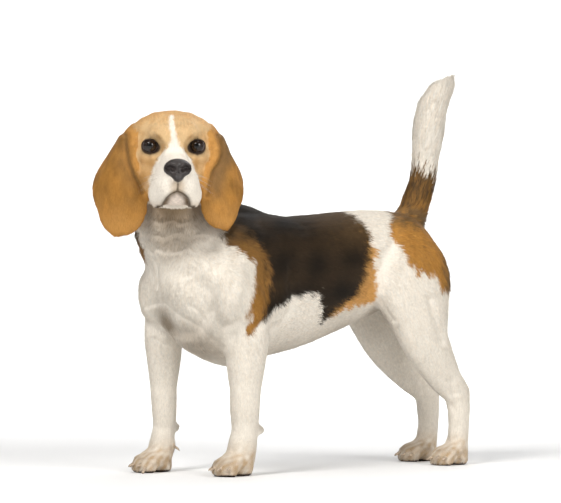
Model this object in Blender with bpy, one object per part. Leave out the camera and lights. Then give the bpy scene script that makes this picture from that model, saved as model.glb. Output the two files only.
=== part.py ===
"""A standing beagle as a still, life-size model: the solids of its body parts.

Metres, +Z up. The dog faces -Y, its left side is +X, and it stands on z = 0. Muscle and bone forms are
fused into one flesh, which thin cuts then part into the head, neck, trunk, tail and the lengths of each
leg. Ears, eyes, nose and claws are pieces of their own, fitted to the flesh face to face.
"""

import math

import bmesh
import bpy
import numpy as np
from mathutils import Matrix, Vector

# Driving dimensions
WITHERS_HEIGHT = 0.372
CROUP_HEIGHT = 0.380
CHEST_FRONT = -0.230  # the point of the breastbone, along the straight spine
BUTTOCK_BACK = 0.232
CHEST_FLOOR = 0.158
CHEST_HALF_WIDTH = 0.078
LOIN_HALF_WIDTH = 0.064
PELVIS_HALF_WIDTH = 0.060
EYE_RADIUS = 0.0116
EYE_SPACING = 0.066
EYE_DEPTH = 0.0060
EAR_THICKNESS = 0.0060
PAW_LENGTH = 0.068
PAW_WIDTH = 0.050

# How the forequarters turn to the dog's left, towards the onlooker
TURN_START = 0.02
TURN_LENGTH = 0.14
TURN_ANGLE = math.radians(11)

# The head's pose: where the middle between the eyes is, and which way the muzzle points
HEAD_PLACE = Vector((0.0473, -0.2498, 0.461))
HEAD_YAW = math.radians(61.5)
HEAD_PITCH = math.radians(5)

# The floor, below the level that the leg measures count from
FLOOR = -0.0036

# Fineness
VOXEL = 0.0027
FLESH_TRIANGLES = 3880
GAP = 0.0003
RING_SIDES = 28

MATERIALS = {
    "tan_coat": ((0.60, 0.33, 0.12), 0.75),
    "white_coat": ((0.83, 0.78, 0.70), 0.78),
    "black_coat": ((0.035, 0.027, 0.022), 0.62),
    "nose_leather": ((0.022, 0.016, 0.014), 0.35),
    "eye": ((0.020, 0.010, 0.006), 0.06),
    "claw": ((0.16, 0.11, 0.08), 0.40),
}


def material(name):
    """The Principled material of that name, made once."""
    found = bpy.data.materials.get(name)
    if found:
        return found
    colour, roughness = MATERIALS[name]
    made = bpy.data.materials.new(name)
    made.use_nodes = True
    shader = made.node_tree.nodes["Principled BSDF"]
    shader.inputs["Base Color"].default_value = (*colour, 1)
    shader.inputs["Roughness"].default_value = roughness
    shader.inputs["Metallic"].default_value = 0
    return made


def turned(points):
    """Points of the straight dog, moved as the spine's bend to the left carries them."""
    points = np.atleast_2d(np.asarray(points, float)).copy()
    ahead = TURN_START - points[:, 1]
    curve = TURN_ANGLE / TURN_LENGTH
    within = np.clip(ahead, 0, TURN_LENGTH)
    angle = within * curve
    beyond = np.where(ahead > TURN_LENGTH, ahead - TURN_LENGTH, np.minimum(ahead, 0))
    side = points[:, 0]
    x = (1 - np.cos(angle)) / curve + beyond * np.sin(angle) + side * np.cos(angle)
    y = TURN_START - np.sin(angle) / curve - beyond * np.cos(angle) + side * np.sin(angle)
    return np.stack([x, y, points[:, 2]], axis=1)


def as_posed(points):
    """Points given where they stand."""
    return np.atleast_2d(np.asarray(points, float))


HEAD_MATRIX = (
    Matrix.Translation(HEAD_PLACE) @ Matrix.Rotation(HEAD_YAW, 4, "Z") @ Matrix.Rotation(HEAD_PITCH, 4, "X")
)


def on_head(points):
    """Points of the head's own frame: its origin is between the eyes, and the muzzle points to -Y."""
    turn = np.array(HEAD_MATRIX)
    return as_posed(points) @ turn[:3, :3].T + turn[:3, 3]


def smooth_rows(rows, per_span):
    """Rows of numbers, with others between them on a Catmull-Rom curve through each column."""
    rows = np.asarray(rows, float)
    padded = np.vstack([2 * rows[0] - rows[1], rows, 2 * rows[-1] - rows[-2]])
    made = []
    for i in range(1, len(padded) - 2):
        before, start, end, after = padded[i - 1 : i + 3]
        for t in np.arange(per_span) / per_span:
            made.append(
                0.5
                * (
                    2 * start
                    + (end - before) * t
                    + (2 * before - 5 * start + 4 * end - after) * t**2
                    + (3 * start - before - 3 * end + after) * t**3
                )
            )
    made.append(rows[-1])
    return np.array(made)


class Form:
    """Closed shapes gathered in one mesh, from rings bridged along a path and from squashed spheres."""

    def __init__(self):
        self.bm = bmesh.new()

    def tube(
        self, stations, front=(0, -1, 0), egg=0.0, place=as_posed, per_span=4, sides=RING_SIDES, rounded=True
    ):
        """A shell round a path. Each station is x, y, z, half width to the side, half depth to the front.

        egg swells the side away from front, as a deep chest is broader above than below."""
        rows = smooth_rows(stations, per_span)
        ways = np.gradient(rows[:, :3], axis=0)
        ways /= np.linalg.norm(ways, axis=1)[:, None]
        rings = [(row[:3], row[3:5], way) for row, way in zip(rows, ways)]
        start, end = rings[0], rings[-1]
        for out, share in ((0.55, 0.84), (0.90, 0.46)) if rounded else ():
            rings.insert(0, (start[0] - start[2] * min(start[1]) * out, start[1] * share, start[2]))
            rings.append((end[0] + end[2] * min(end[1]) * out, end[1] * share, end[2]))
        front = np.array(front, float)
        last = None
        for centre, (half_width, half_depth), direction in rings:
            side = np.cross(direction, front)
            side /= np.linalg.norm(side)
            fore = np.cross(side, direction)
            ring = bmesh.ops.create_circle(self.bm, cap_ends=False, segments=sides, radius=1)["verts"]
            for vertex in ring:
                across, up = vertex.co.x, vertex.co.y
                point = centre + side * half_width * across * (1 - egg * up) + fore * half_depth * up
                vertex.co = place(point)[0]
            edges = list({edge for vertex in ring for edge in vertex.link_edges})
            if last is not None:
                bmesh.ops.bridge_loops(self.bm, edges=last + edges)
            else:
                first = edges
            last = edges
        for rim in (first, last):
            bmesh.ops.contextual_create(self.bm, geom=rim)
        return self

    def mass(self, centre, radii, turn=(0, 0, 0), place=as_posed):
        """A squashed sphere. turn is degrees about X, Y and Z."""
        matrix = Matrix.Translation(centre)
        for angle, axis in zip(turn, "XYZ"):
            matrix = matrix @ Matrix.Rotation(math.radians(angle), 4, axis)
        matrix = matrix @ Matrix.Diagonal((*radii, 1))
        made = bmesh.ops.create_uvsphere(self.bm, u_segments=20, v_segments=12, radius=1)["verts"]
        for vertex in made:
            vertex.co = place(matrix @ vertex.co)[0]
        return self

    def pair(self, centre, radii, turn=(0, 0, 0), place=as_posed):
        """The same mass on both sides of the middle plane."""
        self.mass(centre, radii, turn, place)
        mirrored_turn = (turn[0], -turn[1], -turn[2])
        return self.mass((-centre[0], centre[1], centre[2]), radii, mirrored_turn, place)

    def object(self, name, coat):
        bmesh.ops.recalc_face_normals(self.bm, faces=self.bm.faces)
        if self.bm.calc_volume(signed=True) < 0:
            bmesh.ops.reverse_faces(self.bm, faces=self.bm.faces)
        mesh = bpy.data.meshes.new(name)
        self.bm.to_mesh(mesh)
        self.bm.free()
        made = bpy.data.objects.new(name, mesh)
        bpy.context.scene.collection.objects.link(made)
        mesh.materials.append(material(coat))
        return made


# ---------------------------------------------------------------- the flesh


def add_trunk(form):
    """Chest, loin and rump: rings across the straight spine, bent afterwards."""
    # where along the spine, half width, top and bottom
    sections = [
        (CHEST_FRONT, 0.040, 0.288, 0.222),
        (-0.222, 0.069, 0.320, 0.195),
        (-0.195, 0.079, 0.347, 0.163),
        (-0.150, 0.081, 0.369, 0.147),
        (-0.090, CHEST_HALF_WIDTH, WITHERS_HEIGHT, CHEST_FLOOR),
        (-0.030, CHEST_HALF_WIDTH + 0.001, 0.369, 0.170),
        (0.030, CHEST_HALF_WIDTH - 0.002, 0.373, 0.190),
        (0.090, LOIN_HALF_WIDTH, 0.379, 0.212),
        (0.145, PELVIS_HALF_WIDTH, CROUP_HEIGHT + 0.001, 0.232),
        (0.188, PELVIS_HALF_WIDTH - 0.004, 0.370, 0.245),
        (0.212, 0.046, 0.336, 0.262),
        (BUTTOCK_BACK - 0.003, 0.020, 0.308, 0.280),
    ]
    stations = [
        (0, at, (top + bottom) / 2, half_width, (top - bottom) / 2)
        for at, half_width, top, bottom in sections
    ]
    form.tube(stations, front=(0, 0, -1), egg=0.16, place=turned, per_span=4, sides=40)


def add_neck(form):
    """The neck rises from between the shoulders and swings to the left under the head."""
    stations = [
        (0.008, -0.095, 0.275, 0.060, 0.080),
        (-0.010, -0.156, 0.304, 0.078, 0.082),
        (-0.019, -0.194, 0.344, 0.070, 0.069),
        (-0.016, -0.214, 0.390, 0.059, 0.058),
        (-0.005, -0.222, 0.440, 0.046, 0.050),
    ]
    form.tube(stations, front=(0.25, -1, 0.2), per_span=4, sides=36)
    # the nape runs down into the withers, and the breast fills out below the throat
    nape = [
        (-0.012, -0.160, 0.360, 0.040, 0.0380),
        (-0.009, -0.130, 0.356, 0.038, 0.0340),
        (-0.008, -0.100, 0.352, 0.036, 0.0325),
        (-0.007, -0.080, 0.348, 0.036, 0.0300),
        (-0.006, -0.062, 0.346, 0.036, 0.0265),
        (-0.005, -0.040, 0.342, 0.034, 0.0260),
    ]
    form.tube(nape, front=(0, 0, 1), per_span=3)
    form.mass((0.014, -0.216, 0.299), (0.052, 0.034, 0.042))
    form.mass((0.012, -0.207, 0.250), (0.076, 0.040, 0.060))


def add_foreleg(form, side, foot, depth, width, lean):
    """Shoulder blade, upper arm, forearm and pastern of one side, down to the foot's place.

    lean is how far out of plumb over the foot the elbow stands."""

    def both(x, y, z):
        return turned((side * x, y, z))[0]

    def over(x, y, z, wide, deep, share):
        place = (foot[0] + side * x + lean[0] * share, foot[1] + y + lean[1] * share, z)
        return (*place, width * wide, depth * deep)

    point_of_shoulder = both(0.067, -0.202, 0.266) + np.array((*lean, 0)) * 1.3
    form.tube(
        [
            (*both(0.034, -0.108, 0.336), 0.016, 0.026),
            (*both(0.052, -0.150, 0.314), 0.022, 0.040),
            (*point_of_shoulder, 0.022, 0.030),
        ],
        front=(0, -0.6, 0.8),
    )
    elbow = np.array((foot[0] - side * 0.001 + lean[0], foot[1] + 0.012 + lean[1], 0.212))
    form.tube(
        [
            (*point_of_shoulder, 0.026, 0.031),
            (*((point_of_shoulder + elbow) / 2 + np.array((0, 0.006, 0.0))), 0.028, 0.038),
            (*elbow, 0.025, 0.031),
        ],
        front=(0, -0.75, -0.65),
    )
    form.mass(point_of_shoulder, (0.026, 0.024, 0.036))
    form.mass(point_of_shoulder + np.array((side * 0.002, -0.003, -0.012)), (0.025, 0.025, 0.044))
    form.mass(both(0.060, -0.128, 0.262), (0.026, 0.040, 0.058), turn=(24, 0, 0))
    form.tube(
        [
            over(-0.003, 0.006, 0.222, 1.34, 1.40, 1.0),
            over(-0.003, 0.005, 0.190, 1.40, 1.44, 0.8),
            over(-0.002, 0.003, 0.155, 1.24, 1.28, 0.5),
            over(0, 0.001, 0.118, 1.00, 1.04, 0.2),
            over(0, 0, 0.086, 0.94, 0.98, 0),
            over(0, 0.000, 0.060, 0.86, 0.85, 0),
            over(0, -0.005, 0.034, 0.96, 0.94, 0),
            over(0, -0.009, 0.014, 0.92, 0.96, 0),
        ],
        per_span=4,
    )
    # point of the elbow, the stopper pad behind the wrist, and the dewclaw's toe
    form.mass(over(0.003, depth * 1.25, 0.206, 0, 0, 1)[:3], (0.010, 0.011, 0.014))
    form.mass(over(0.002, depth * 1.08, 0.060, 0, 0, 0)[:3], (0.0075, 0.0085, 0.0090))
    form.mass(over(-0.0155, 0.004, 0.036, 0, 0, 0)[:3], (0.0065, 0.0090, 0.0100))


def add_hindleg(form, side, hock, foot):
    """Thigh, second thigh, hock and rear pastern of one side."""
    shift = np.array([side * hock[0] - 0.052, hock[1] - 0.246])

    def at(x, y, z, width, depth, carried):
        return (side * (x + shift[0] * carried), y + shift[1] * carried, z, width, depth)

    form.tube(
        [
            at(0.034, 0.158, 0.345, 0.026, 0.040, 0.0),
            at(0.043, 0.164, 0.305, 0.034, 0.067, 0.0),
            at(0.049, 0.169, 0.262, 0.034, 0.072, 0.1),
            at(0.053, 0.177, 0.222, 0.031, 0.056, 0.2),
            at(0.055, 0.185, 0.186, 0.026, 0.044, 0.4),
            at(0.055, 0.203, 0.152, 0.021, 0.035, 0.6),
            at(0.053, 0.221, 0.126, 0.017, 0.029, 0.8),
            at(0.052, 0.2385, 0.104, 0.016, 0.0225, 1.0),
            at(0.052, 0.2445, 0.080, 0.0150, 0.0205, 1.0),
            at(0.052, 0.2440, 0.048, 0.0150, 0.0180, 1.0),
            at(0.052, 0.2405, 0.024, 0.0160, 0.0185, 1.0),
            at(0.052, 0.240, 0.012, 0.0160, 0.018, 1.0),
        ],
        per_span=4,
    )
    # the cord above the heel and the heel bone
    form.tube(
        [
            at(0.054, 0.210, 0.172, 0.008, 0.012, 0.5),
            at(0.053, 0.235, 0.138, 0.006, 0.008, 0.85),
            at(0.052, 0.2565, 0.110, 0.008, 0.009, 1.0),
            at(0.052, 0.2570, 0.092, 0.009, 0.009, 1.0),
        ],
        per_span=4,
    )


def paw_frame(centre, heading):
    """Points of a paw's own frame: it stands on its origin and its toes point to -Y."""
    turn = np.array(Matrix.Translation((*centre, FLOOR)) @ Matrix.Rotation(heading, 4, "Z"))
    return lambda points: as_posed(points) @ turn[:3, :3].T + turn[:3, 3]


# each toe's place across the paw and how far it reaches forward, as shares of the paw's size
TOES = ((-0.34, 0.38), (-0.13, 0.48), (0.13, 0.48), (0.34, 0.38))
TOE_RADIUS = 0.0098


def add_paw(form, place, scale=1.0):
    """Four arched toes, their pads and the heel pad."""
    for across, reach in TOES:
        x, tip = across * PAW_WIDTH * scale, -reach * PAW_LENGTH * scale
        form.tube(
            [
                (x * 0.62, 0.008, 0.021, TOE_RADIUS, 0.0110),
                (x * 0.90, tip * 0.42, 0.0190, TOE_RADIUS, 0.0106),
                (x * 1.02, tip * 0.78, 0.0125, TOE_RADIUS * 0.96, 0.0094),
                (x * 1.04, tip * 0.95, 0.0082, TOE_RADIUS * 0.66, 0.0058),
            ],
            front=(0, -0.2, 1),
            place=place,
            per_span=3,
            sides=16,
        )
        form.mass((x * 1.0, tip * 0.78, 0.0050), (0.0080, 0.0110, 0.0072), place=place)
    form.mass((0, 0.010, 0.007), (0.0200, 0.0200, 0.0100), place=place)
    form.mass((0, 0.010, 0.020), (0.0190, 0.0190, 0.0140), place=place)


def add_claws(form, place, scale=1.0):
    for across, reach in TOES:
        x, tip = across * PAW_WIDTH * scale, -reach * PAW_LENGTH * scale
        form.tube(
            [
                (x * 1.00, tip * 0.86, 0.0120, 0.0022, 0.0026),
                (x * 1.06, tip - 0.0050, 0.0095, 0.0018, 0.0022),
                (x * 1.08, tip - 0.0095, 0.0045, 0.0006, 0.0007),
            ],
            front=(0, -0.4, 1),
            place=place,
            per_span=1,
            sides=5,
            rounded=False,
        )


def add_dewclaw(form, side, foot):
    """The claw of the first toe, high on the inner side."""
    form.tube(
        [
            (foot[0] - side * 0.0180, foot[1] + 0.006, 0.033, 0.0024, 0.0028),
            (foot[0] - side * 0.0195, foot[1] + 0.0120, 0.026, 0.0018, 0.0022),
            (foot[0] - side * 0.0190, foot[1] + 0.0150, 0.021, 0.0006, 0.0007),
        ],
        per_span=1,
        sides=5,
        rounded=False,
    )


def add_tail(form):
    """Carried gaily upright, thicker in its brushy upper half, with the tip nodding back."""
    form.tube(
        [
            (0, 0.180, 0.345, 0.024, 0.026),
            (0, 0.203, 0.368, 0.024, 0.026),
            (0, 0.2145, 0.392, 0.0230, 0.0250),
            (0, 0.2268, 0.424, 0.0215, 0.0235),
            (0, 0.2322, 0.458, 0.0220, 0.0245),
            (0, 0.2375, 0.495, 0.0240, 0.0280),
            (0, 0.2440, 0.530, 0.0230, 0.0280),
            (0, 0.2605, 0.558, 0.0185, 0.0235),
            (0, 0.2765, 0.575, 0.0130, 0.0165),
            (0, 0.2880, 0.586, 0.0060, 0.0075),
        ],
        per_span=4,
    )


def add_head(form):
    """Skull, brow, cheeks, squared muzzle with its lips, and the lower jaw."""
    place = on_head
    form.mass((0, 0.040, 0.004), (0.0515, 0.062, 0.0470), place=place)
    form.mass((0, 0.052, -0.014), (0.0500, 0.054, 0.050), place=place)
    form.pair((0.0165, 0.013, 0.015), (0.0250, 0.031, 0.022), place=place)
    form.pair((0.0380, 0.038, 0.0215), (0.0205, 0.030, 0.0205), place=place)
    form.pair((0.0400, 0.024, -0.012), (0.0165, 0.034, 0.014), turn=(0, 0, -12), place=place)
    form.pair((0.0330, 0.032, -0.042), (0.0210, 0.034, 0.034), place=place)
    # the bridge of the nose and the muzzle's box: y, half width, top, bottom
    muzzle = [
        (0.020, 0.0390, 0.004, -0.086),
        (0.000, 0.0350, 0.001, -0.086),
        (-0.016, 0.0300, -0.005, -0.084),
        (-0.034, 0.0275, -0.009, -0.080),
        (-0.054, 0.0255, -0.0120, -0.073),
        (-0.072, 0.0235, -0.0140, -0.064),
        (-0.085, 0.0185, -0.0170, -0.056),
        (-0.091, 0.0110, -0.0220, -0.048),
    ]
    form.tube(
        [(0, y, (top + low) / 2, half, (top - low) / 2) for y, half, top, low in muzzle],
        front=(0, 0, 1),
        place=place,
        per_span=3,
    )
    form.pair((0.0175, -0.051, -0.054), (0.0165, 0.037, 0.026), turn=(0, 0, -4), place=place)
    form.pair((0.0255, -0.038, -0.066), (0.0122, 0.029, 0.0220), turn=(-4, 0, -6), place=place)
    jaw = [
        (0.030, 0.0360, -0.052, -0.086),
        (0.000, 0.0290, -0.058, -0.086),
        (-0.030, 0.0210, -0.060, -0.0840),
        (-0.054, 0.0170, -0.060, -0.0815),
        (-0.068, 0.0140, -0.061, -0.0790),
        (-0.075, 0.0080, -0.064, -0.0745),
    ]
    form.tube(
        [(0, y, (top + low) / 2, half, (top - low) / 2) for y, half, top, low in jaw],
        front=(0, 0, 1),
        place=place,
        per_span=3,
    )


# The feet: where each leg's axis stands, how thick the forearm is, and how the elbow leans over the foot
FORE_FEET = {
    "left": ((0.081, -0.1520), 0.0242, 0.0212, (0.0, 0.0)),
    "right": ((-0.059, -0.1985), 0.0208, 0.0194, (-0.005, -0.007)),
}
HIND_FEET = {
    "left": ((0.052, 0.2572), (0.052, 0.2420)),
    "right": ((-0.050, 0.2780), (-0.051, 0.2600)),
}
SIDES = {"left": 1, "right": -1}


def paws():
    """Each paw's name, side, frame and size."""
    for name, (foot, *_) in FORE_FEET.items():
        yield "fore", name, paw_frame((foot[0] + 0.001, foot[1] - 0.0168), math.radians(8)), 1.0
    for name, (hock, foot) in HIND_FEET.items():
        yield "hind", name, paw_frame((foot[0], foot[1]), math.radians(2 * SIDES[name])), 1.0


def whole_flesh():
    form = Form()
    add_trunk(form)
    add_neck(form)
    add_head(form)
    add_tail(form)
    for name, (foot, depth, width, lean) in FORE_FEET.items():
        add_foreleg(form, SIDES[name], foot, depth, width, lean)
    for name, (hock, foot) in HIND_FEET.items():
        add_hindleg(form, SIDES[name], hock, foot)
    for _, _, place, scale in paws():
        add_paw(form, place, scale)
    flesh = form.object("flesh", "white_coat")
    remesh = flesh.modifiers.new("fuse", "REMESH")
    remesh.mode = "VOXEL"
    remesh.voxel_size = VOXEL
    return flesh


def applied(obj):
    """The object with its modifiers made part of its mesh."""
    graph = bpy.context.evaluated_depsgraph_get()
    mesh = bpy.data.meshes.new_from_object(obj.evaluated_get(graph))
    old = obj.data
    obj.modifiers.clear()
    obj.data = mesh
    bpy.data.meshes.remove(old)
    return obj


def points_of(obj):
    points = np.empty(len(obj.data.vertices) * 3, np.float32)
    obj.data.vertices.foreach_get("co", points)
    return points.reshape(-1, 3).astype(float)


def weigh(obj, name, weights):
    """A vertex group from one weight for each vertex."""
    group = obj.vertex_groups.new(name=name)
    levels = np.round(np.clip(weights, 0, 1) * 20).astype(int)
    for level in np.unique(levels):
        group.add(np.nonzero(levels == level)[0].tolist(), float(level) / 20, "REPLACE")
    return group


def near(points, centre, inner, outer):
    """1 within inner of the centre, falling to 0 at outer."""
    away = np.linalg.norm(points - np.array(centre), axis=1)
    return np.clip((outer - away) / (outer - inner), 0, 1)


def clear_scene():
    for obj in list(bpy.data.objects):
        bpy.data.objects.remove(obj, do_unlink=True)


def smooth_and_thin(flesh):
    """Blends the forms into each other, less on the face and feet, and thins the mesh."""
    points = points_of(flesh)
    face = near(points, HEAD_MATRIX @ Vector((0, -0.03, -0.02)), 0.085, 0.13)
    feet = np.clip((0.055 - points[:, 2]) / 0.02, 0, 1)
    fine = np.maximum(face, feet)
    weigh(flesh, "broad", 1 - fine)
    weigh(flesh, "fine", fine)
    for group, rounds in (("broad", 36), ("fine", 5)):
        blend = flesh.modifiers.new("blend_" + group, "SMOOTH")
        blend.factor = 0.5
        blend.iterations = rounds
        blend.vertex_group = group
    applied(flesh)
    points = points_of(flesh)
    face = near(points, HEAD_MATRIX @ Vector((0, -0.02, -0.02)), 0.09, 0.15)
    feet = np.clip((0.05 - points[:, 2]) / 0.03, 0, 1)
    body = weigh(flesh, "body", 1 - 0.5 * np.maximum(face, 0.5 * feet))
    triangles = sum(len(face.vertices) - 2 for face in flesh.data.polygons)
    thin = flesh.modifiers.new("thin", "DECIMATE")
    thin.ratio = FLESH_TRIANGLES / triangles
    thin.vertex_group = body.name
    thin.vertex_group_factor = 2e-5
    return applied(flesh)


EAR_ROWS = 11
EAR_COLUMNS = 7

# Each ear's leading and trailing edge from its root to its tip, on the left of the head, and how far the
# flap bulges outward between them
EAR_FRONT = [
    (0.0340, 0.026, 0.0330),
    (0.0520, 0.017, 0.0200),
    (0.0580, 0.012, -0.0100),
    (0.0520, 0.008, -0.0350),
    (0.0410, 0.003, -0.0600),
    (0.0380, 0.003, -0.0850),
    (0.0430, 0.008, -0.1110),
    (0.0590, 0.014, -0.1260),
]
EAR_REAR = [
    (0.0340, 0.060, 0.0300),
    (0.0612, 0.064, 0.0235),
    (0.0825, 0.066, -0.0080),
    (0.0995, 0.064, -0.0360),
    (0.1140, 0.058, -0.0600),
    (0.1080, 0.048, -0.0860),
    (0.1000, 0.036, -0.1120),
    (0.0835, 0.022, -0.1315),
]
EAR_BULGE = (0.000, 0.004, 0.011, 0.015, 0.015, 0.011, 0.007, 0.002)
EAR_ROLL = (0.000, 0.003, 0.008, 0.010, 0.009, 0.006, 0.003, 0.000)


def ear(name, side, spread, length, forward):
    """A hanging flap: it bulges outward, and its leading edge rolls in towards the cheek."""
    rows = smooth_rows([(*f, *r, b, k) for f, r, b, k in zip(EAR_FRONT, EAR_REAR, EAR_BULGE, EAR_ROLL)], 4)
    rows = rows[np.round(np.linspace(0, len(rows) - 1, EAR_ROWS)).astype(int)]
    down = np.gradient((rows[:, :3] + rows[:, 3:6]) / 2, axis=0)
    form = Form()
    grid = []
    for row, direction in zip(rows, down):
        front, rear = row[:3], row[3:6]
        outward = np.cross(rear - front, direction)
        outward /= -np.linalg.norm(outward)
        if outward[0] < 0:
            outward = -outward
        line = []
        for t in np.linspace(0, 1, EAR_COLUMNS) ** 1.25:
            rolled = row[7] * max(0.0, 1 - t / 0.22) ** 2
            point = front + (rear - front) * t + outward * (row[6] * math.sin(math.pi * t) - rolled)
            drop = min(point[2], 0.02) - 0.02
            point[0] += (spread - 1) * (point[0] - 0.045) * min(1, -drop / 0.05)
            point[2] = 0.02 + drop * length if point[2] < 0.02 else point[2]
            point[0] *= side
            point[1] -= forward * (drop / 0.12) ** 2
            line.append(form.bm.verts.new(on_head(point)[0]))
        grid.append(line)
    for above, below in zip(grid, grid[1:]):
        for i in range(EAR_COLUMNS - 1):
            corners = [above[i], above[i + 1], below[i + 1], below[i]]
            form.bm.faces.new(corners if side > 0 else corners[::-1])
    made = form.object(name, "tan_coat")
    thick = made.modifiers.new("thick", "SOLIDIFY")
    thick.thickness = EAR_THICKNESS
    thick.offset = 0
    return applied(made)


def ball(name, centre, radii, coat, turn=(0, 0, 0), place=on_head, segments=14, rings=8):
    form = Form()
    matrix = Matrix.Translation(centre)
    for angle, axis in zip(turn, "XYZ"):
        matrix = matrix @ Matrix.Rotation(math.radians(angle), 4, axis)
    matrix = matrix @ Matrix.Diagonal((*radii, 1))
    made = bmesh.ops.create_uvsphere(form.bm, u_segments=segments, v_segments=rings, radius=1)["verts"]
    for vertex in made:
        vertex.co = place(matrix @ vertex.co)[0]
    return form.object(name, coat)


def swollen(obj, by=GAP):
    """A copy whose surface lies further out by the given distance."""
    mesh = obj.data.copy()
    points, normals = points_of(obj), np.array([vertex.normal[:] for vertex in obj.data.vertices])
    mesh.vertices.foreach_set("co", (points + normals * by).astype(np.float32).ravel())
    mesh.update()
    made = bpy.data.objects.new(obj.name + "_room", mesh)
    bpy.context.scene.collection.objects.link(made)
    return as_cutter(made)


def as_cutter(obj):
    obj.hide_render = True
    obj.display_type = "WIRE"
    return obj


def combine(obj, tool, operation, discard=True):
    """One exact boolean of obj with tool."""
    boolean = obj.modifiers.new(operation.lower(), "BOOLEAN")
    boolean.operation = operation
    boolean.solver = "EXACT"
    boolean.object = tool
    applied(obj)
    if discard:
        bpy.data.objects.remove(tool, do_unlink=True)
    return obj


def box(name, low, high, place=as_posed, turn=None):
    """A box between two corners, as a cutter."""
    form = Form()
    made = bmesh.ops.create_cube(form.bm, size=1)["verts"]
    low, high = np.array(low), np.array(high)
    for vertex in made:
        point = Vector((low + high) / 2 + np.array(vertex.co) * (high - low))
        vertex.co = place(turn @ point if turn else point)[0]
    return as_cutter(form.object(name, "white_coat"))


def slab(centre, normal, size):
    """A thin square plate whose removal parts one length of flesh from the next."""
    turn = Matrix.Translation(centre) @ Vector(normal).to_track_quat("Z", "Y").to_matrix().to_4x4()
    half = size / 2
    return box("slab", (-half, -half, -GAP / 2), (half, half, GAP / 2), turn=turn)


def shell(outline, inner, outer, side, place=as_posed):
    """The thin walls round a prism of the given outline (y, z), from inner to outer on one side."""
    form = Form()
    middle = np.mean(outline, axis=0)
    for grow in (0.5, -0.5):
        rim = []
        for y, z in outline:
            away = np.array((y, z)) - middle
            rim.append(np.array((y, z)) + away / np.linalg.norm(away) * GAP * grow * 1.2)
        near_x, far_x = side * (inner - GAP * grow), side * (outer + GAP * grow)
        near_ring = [form.bm.verts.new(place((near_x, y, z))[0]) for y, z in rim]
        far_ring = [form.bm.verts.new(place((far_x, y, z))[0]) for y, z in rim]
        count = len(rim)
        faces = [near_ring[::-1], far_ring]
        for i in range(count):
            j = (i + 1) % count
            faces.append([near_ring[i], near_ring[j], far_ring[j], far_ring[i]])
        made = [form.bm.faces.new(face) for face in faces]
        bmesh.ops.recalc_face_normals(form.bm, faces=made)
        if grow < 0:
            bmesh.ops.reverse_faces(form.bm, faces=made)
    mesh = bpy.data.meshes.new("shell")
    form.bm.to_mesh(mesh)
    form.bm.free()
    made = bpy.data.objects.new("shell", mesh)
    bpy.context.scene.collection.objects.link(made)
    mesh.materials.append(material("white_coat"))
    return as_cutter(made)


def loose_parts(obj):
    """The connected pieces of a mesh, as objects of their own, largest first."""
    bm = bmesh.new()
    bm.from_mesh(obj.data)
    bm.verts.ensure_lookup_table()
    part_of = {}
    pieces = []
    for start in bm.verts:
        if start in part_of:
            continue
        piece, waiting = [], [start]
        part_of[start] = len(pieces)
        while waiting:
            vertex = waiting.pop()
            piece.append(vertex.index)
            for edge in vertex.link_edges:
                other = edge.other_vert(vertex)
                if other not in part_of:
                    part_of[other] = len(pieces)
                    waiting.append(other)
        pieces.append(piece)
    owner = np.empty(len(bm.verts), int)
    for vertex, index in part_of.items():
        owner[vertex.index] = index
    made = []
    for index, piece in enumerate(pieces):
        other = bm.copy()
        other.verts.ensure_lookup_table()
        gone = [other.verts[i] for i in np.nonzero(owner != index)[0]]
        bmesh.ops.delete(other, geom=gone, context="VERTS")
        mesh = bpy.data.meshes.new(f"{obj.name}_{index}")
        other.to_mesh(mesh)
        volume = other.calc_volume()
        other.free()
        part = bpy.data.objects.new(mesh.name, mesh)
        bpy.context.scene.collection.objects.link(part)
        part.data.materials.clear()
        made.append((volume, part))
    bm.free()
    bpy.data.objects.remove(obj, do_unlink=True)
    return sorted(made, key=lambda pair: -pair[0])


def part_flesh(flesh):
    """Cuts the flesh into the head, neck, trunk, tail and leg lengths, and names them by where they lie."""
    cuts = [
        slab(on_head((0, 0.074, -0.062))[0], (0.40, -0.22, 0.89), 0.200),
        slab(turned((0, -0.150, 0.346))[0], (0.081, -0.415, 0.91), 0.300),
        slab((0, 0.206, 0.378), (0, 0.30, 0.95), 0.085),
    ]
    fore_outline = [
        (-0.232, 0.235),
        (-0.204, 0.280),
        (-0.150, 0.312),
        (-0.112, 0.280),
        (-0.100, 0.139),
        (-0.244, 0.139),
    ]
    hind_outline = [
        (0.112, 0.215),
        (0.104, 0.270),
        (0.150, 0.318),
        (0.205, 0.312),
        (0.265, 0.262),
        (0.265, 0.200),
        (0.180, 0.150),
    ]
    for side in (1, -1):
        cuts.append(shell(fore_outline, 0.031, 0.150, side, place=turned))
        cuts.append(shell(hind_outline, 0.026, 0.130, side))
    for name, (foot, *_) in FORE_FEET.items():
        cuts.append(slab((foot[0], foot[1], 0.068), (0, 0, 1), 0.075))
    for name, (hock, _) in HIND_FEET.items():
        cuts.append(slab((SIDES[name] * abs(hock[0]), hock[1] - 0.002, 0.100), (0, -0.25, 0.97), 0.070))
    for cut in cuts:
        combine(flesh, cut, "DIFFERENCE")
    return loose_parts(flesh)


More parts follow.
